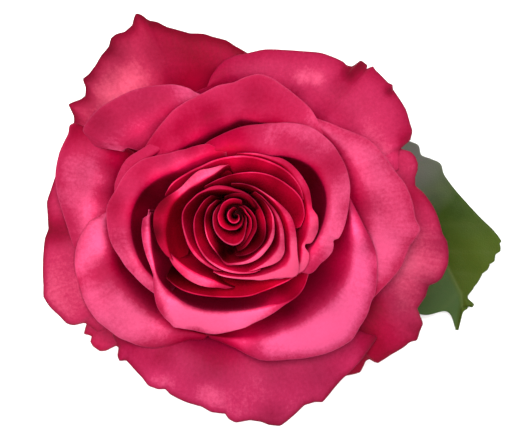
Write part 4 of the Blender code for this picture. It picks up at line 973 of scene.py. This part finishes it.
def makeLeaf(name, look, node):
    work = bmesh.new()
    lay = work.verts.layers.float_vector.new("leafLay")
    veins = work.verts.layers.float.new("leafVein")
    grid = []
    for row in range(look["rows"] + 1):
        share = row / look["rows"]
        tip = smooth((1 - share) * 5)                      # 1 along the blade, 0 at the tip
        middle = readPath(look["midrib"], share)
        line = []
        for column in range(-look["sideColumns"], look["sideColumns"] + 1):
            out = abs(column) / look["sideColumns"]
            margin = readPath(look["outer"] if column > 0 else look["inner"], share)
            tooth = (share * look["teeth"] + 0.15 * out) % 1.0
            cut = look["toothDepth"] * (1 - tooth) ** 1.3 * smooth((share - 0.5) * 6) * smooth((0.8 - share) * 12)
            point = middle.lerp(margin, out * (1 - cut * out ** 4))
            side = (point - middle).length
            lean = share * look["sideVeins"] - 0.9 * out ** 0.85       # the side veins run forward to the margin
            phase = abs(lean - round(lean)) * 2
            sideVein = bump(phase * 4.2, 1) * (1 - 0.55 * out) * smooth(out * 9) * tip
            midVein = bump(side, look["veinWidth"])
            height = look["floor"] + look["fold"] * side ** 1.05 + look["arch"] * math.sin(math.pi * share)
            height += look["quilt"] * (phase ** 0.8 - 0.5) * smooth(out * 4) * tip * (1 - out ** 6)
            height += look["ripple"] * noise.noise(Vector((point.x * 0.16, point.y * 0.16, 2.5))) * smooth(out * 2)
            height -= look["veinDepth"] * midVein
            vert = work.verts.new(flatSpot(point.x, point.y, max(height, look["lowest"])))
            vert[lay] = (side if column > 0 else -side, share * look["length"], out)
            vert[veins] = clamp(midVein + 0.30 * sideVein)
            line.append(vert)
        grid.append(line)
    joinRows(work, grid)
    bmesh.ops.recalc_face_normals(work, faces=work.faces)
    if sum(face.normal.z for face in work.faces) < 0:
        bmesh.ops.reverse_faces(work, faces=work.faces)
    piece = linkMesh(name, work, [makeLeafFinish("leafSkin", look)])
    thicken(piece, look["thickness"])
    standFor(piece, node)


makeLeaf("leafBlade", leaf, "leaf_blade")
print("leaf laid")

# hip, stem, leaf stalk and sepals
greens = {
    "stem": {"dark": (0.045, 0.095, 0.020), "light": (0.130, 0.210, 0.055), "flush": (0.20, 0.07, 0.04),
             "inside": (0.20, 0.001, 0.012), "stripe": 900.0},
    "sepal": {"dark": (0.040, 0.100, 0.018), "light": (0.150, 0.230, 0.070), "flush": (0.17, 0.08, 0.04),
              "inside": (0.15, 0.10, 0.05), "stripe": 700.0}}
collar = (hipLow.z + 8.5 * mm, hipLow.z + 10.0 * mm)       # where the green ends and the inside's colour starts


def makeGreenFinish(name, look):
    finish, tree, shader = startFinish(name)
    here = onObject(tree)
    blotches = clouds(tree, here, 240.0, 3.0)
    streaks = clouds(tree, stretched(tree, here, 1.0, 1.0, 0.12), look["stripe"], 3.0)
    tone = calc(tree, "ADD", calc(tree, "MULTIPLY", blotches, 0.6), calc(tree, "MULTIPLY", streaks, 0.4))
    colour = colourRamp(tree, tone, ((0.30, look["dark"]), (0.68, look["light"])))
    flush = band(tree, clouds(tree, here, 90.0, 2.0), 0.52, 0.70, 0.0, 0.55)
    colour = blendColours(tree, flush, colour, look["flush"])
    high = addNode(tree, "ShaderNodeSeparateXYZ", {0: here}).outputs[2]
    colour = blendColours(tree, band(tree, high, *collar), colour, look["inside"])
    tree.links.new(colour, shader.inputs["Base Color"])
    tree.links.new(band(tree, streaks, 0.2, 0.8, 0.40, 0.62), shader.inputs["Roughness"])
    roughen(tree, shader, tone, 0.35, 0.15 * mm)
    letLightIn(shader, 0.05, (0.4, 1.0, 0.3), 0.6, 0.10)
    return finish


stemSkin = makeGreenFinish("stemSkin", greens["stem"])
sepalSkin = makeGreenFinish("sepalSkin", greens["sepal"])


def makeTube(name, rings, node):
    # rings of points joined into one closed skin, with a fan over each end
    work = bmesh.new()
    made = [[work.verts.new(p) for p in ring] for ring in rings]
    joinRows(work, [ring + ring[:1] for ring in made])
    for ring in (made[0], made[-1]):
        centre = work.verts.new(sum((v.co for v in ring), Vector()) / len(ring))
        for a in range(len(ring)):
            work.faces.new((ring[a], ring[(a + 1) % len(ring)], centre))
    bmesh.ops.recalc_face_normals(work, faces=work.faces)
    standFor(linkMesh(name, work, [stemSkin]), node)


hip = {"profile": ((1.2, 5.7), (2.6, 5.7), (3, 6.2), (3.5, 6.9), (4.6, 8.1), (5.3, 9.2), (5.8, 11), (5.6, 12.6),
                   (5.5, 13.3), (6.3, 15), (6.6, 16.5), (6.45, 18), (5.8, 19.4), (4.7, 20.6), (3.2, 21.5),
                   (1.5, 21.95), (0.4, 22)),
       "ribs": 0.10, "ribCount": 5, "ribsFrom": 6.5, "ribsTo": 13, "rings": 48, "sides": 48}
hipRings = []
for index in range(hip["rings"] + 1):
    radius, height = readPath(hip["profile"], index / hip["rings"])
    ribs = hip["ribs"] * smooth((height - hip["ribsFrom"]) / 2) * smooth((hip["ribsTo"] - height) / 2)
    ring = []
    for azimuth in [a * 360 / hip["sides"] for a in range(hip["sides"])]:
        wavy = radius + ribs * math.cos(math.radians(azimuth * hip["ribCount"]))
        ring.append(spot(azimuth, max(0.2, wavy), height))
    hipRings.append(ring)
makeTube("hipSkin", hipRings, "hip")

stem = {"radius": 2.45, "lean": (1.0, -1.6), "bottom": 0.15, "top": 5.35, "cutSlope": 0.35, "ribs": 0.06,
        "ribCount": 7, "rough": 0.05, "rings": 12, "sides": 40}
stemRings = []
for index in range(stem["rings"] + 1):
    up = index / stem["rings"]
    ring = []
    for a in range(stem["sides"]):
        angle = 2 * math.pi * a / stem["sides"]
        radius = stem["radius"] + stem["ribs"] * math.cos(stem["ribCount"] * angle)
        radius += stem["rough"] * noise.noise(Vector((a * 0.4, up * 3, 1.5)))
        x, y = radius * math.cos(angle), radius * math.sin(angle)
        cut = stem["bottom"] + (x + stem["radius"]) * stem["cutSlope"]
        east, north = [lean * (1 - up) for lean in stem["lean"]]
        ring.append(flatSpot(x + east, y + north, mix(cut, stem["top"], up)))
    stemRings.append(ring)
makeTube("stemEnd", stemRings, "stem")

stalk = {"path": ((3.4, 1.4, 3.4), (10.5, 6, 3.35), (17, 12, 3), (24, 17.6, 2.3), (30.5, 20.8, 1.6),
                  (36.9, 21.6, 1)),
         "radius": (1.0, 0.85, 0.8, 0.75, 0.78, 0.7), "rings": 48, "sides": 20, "lowest": 0.12}
stalkRings = []
for index in range(stalk["rings"] + 1):
    share = index / stalk["rings"]
    here = readPath(stalk["path"], share)
    ahead = readPath(stalk["path"], min(1.0, share + 0.01)) - readPath(stalk["path"], max(0.0, share - 0.01))
    east = ahead.normalized().cross(Vector((0, 0, 1))).normalized()
    up = east.cross(ahead.normalized()).normalized()
    radius = readPath([(value, 0) for value in stalk["radius"]], share)[0]
    ring = []
    for a in range(stalk["sides"]):
        angle = 2 * math.pi * a / stalk["sides"]
        point = here + (east * math.cos(angle) + up * math.sin(angle)) * radius
        ring.append(flatSpot(point.x, point.y, max(stalk["lowest"], point.z)))
    stalkRings.append(ring)
makeTube("leafStalk", stalkRings, "leaf_stalk")

sepals = {"count": 5, "first": 12, "path": ((6.3, 12.2, 0), (13.5, 12.6, 0), (20.5, 8, 0), (26, 0.5, 0)),
          "halfWidth": (3.2, 4.4, 4.6, 3.9, 2.6, 1.5, 0.35), "cup": 0.02, "midrib": 0.16, "wave": 0.25,
          "thickness": 0.45, "lowest": 0.5}
for number in range(sepals["count"]):
    azimuth = math.radians(sepals["first"] + number * 360 / sepals["count"])
    along = Vector((math.cos(azimuth), math.sin(azimuth), 0))
    sideways = Vector((-along.y, along.x, 0))
    work = bmesh.new()
    bmesh.ops.create_grid(work, x_segments=34, y_segments=12, size=1)
    for vert in work.verts:
        share = (vert.co.x + 1) / 2
        width = readPath([(value, 0) for value in sepals["halfWidth"]], share)[0]
        side = vert.co.y * width * (1 + 0.06 * math.sin(share * 40 + number))
        point = bezier(sepals["path"], share)
        height = point.y + sepals["cup"] * side * side * (1 - share) - sepals["midrib"] * bump(side, 0.4)
        height += sepals["wave"] * noise.noise(Vector((share * 5, side * 0.3, number * 3.3)))
        flat = along * point.x + sideways * side
        vert.co = flatSpot(flat.x, flat.y, max(sepals["lowest"], height))
    piece = linkMesh("sepal" + str(number + 1), work, [sepalSkin])
    thicken(piece, sepals["thickness"])
    soft = piece.modifiers.new("softEdge", "SUBSURF")
    soft.levels = 1
    soft.render_levels = 1
    standFor(piece, "sepal_" + str(number + 1))
print("green parts laid")

# studio
studio = {"floor": (0.97, 0.97, 0.97), "floorWear": (0.88, 0.88, 0.88), "floorSize": 4.0, "sky": 1.25,
          "lampSize": 1.0, "lampAim": (0, 0, 0.03), "key": 24.6, "keyPlace": (-0.05, 0.30, 1.28),
          "side": 4.8, "sidePlace": (-0.9, -0.2, 0.7),
          "cameraHeight": 3.2, "fieldWidth": 127.4, "aim": (5.12, -1.38, 34.0), "sensor": 36.0}

floorFinish, floorTree, floorShader = startFinish("tablePaint")
wear = band(floorTree, clouds(floorTree, onObject(floorTree), 40.0, 3.0), 0.3, 0.7, 0.0, 0.03)
floorPaint = blendColours(floorTree, wear, studio["floor"], studio["floorWear"])
floorTree.links.new(floorPaint, floorShader.inputs["Base Color"])
floorShader.inputs["Roughness"].default_value = 0.8
work = bmesh.new()
bmesh.ops.create_grid(work, x_segments=2, y_segments=2, size=studio["floorSize"])
floor = linkMesh("tableTop", work, [floorFinish])

world = bpy.data.worlds.new("studioAir")
bpy.context.scene.world = world
world.use_nodes = True
world.node_tree.nodes["Background"].inputs[0].default_value = (1, 1, 1, 1)
world.node_tree.nodes["Background"].inputs[1].default_value = studio["sky"]


def hangLamp(name, power, place):
    light = bpy.data.lights.new(name, "AREA")
    light.energy = power
    light.size = studio["lampSize"]
    lamp = bpy.data.objects.new(name, light)
    bpy.context.scene.collection.objects.link(lamp)
    lamp.location = place
    lamp.rotation_euler = (Vector(studio["lampAim"]) - lamp.location).to_track_quat("-Z", "Y").to_euler()
    lamp.visible_camera = False


hangLamp("keyLamp", studio["key"], studio["keyPlace"])
hangLamp("sideLamp", studio["side"], studio["sidePlace"])

cameraData = bpy.data.cameras.new("overheadCamera")
camera = bpy.data.objects.new("overheadCamera", cameraData)
bpy.context.scene.collection.objects.link(camera)
camera.location = flatSpot(*studio["aim"]) + Vector((0, 0, studio["cameraHeight"]))
cameraData.sensor_width = studio["sensor"]
cameraData.lens = studio["sensor"] * studio["cameraHeight"] / (studio["fieldWidth"] * mm)
cameraData.clip_start = 0.1
cameraData.clip_end = 20.0
bpy.context.scene.camera = camera
bpy.context.scene.view_settings.view_transform = "Standard"
print("studio ready")
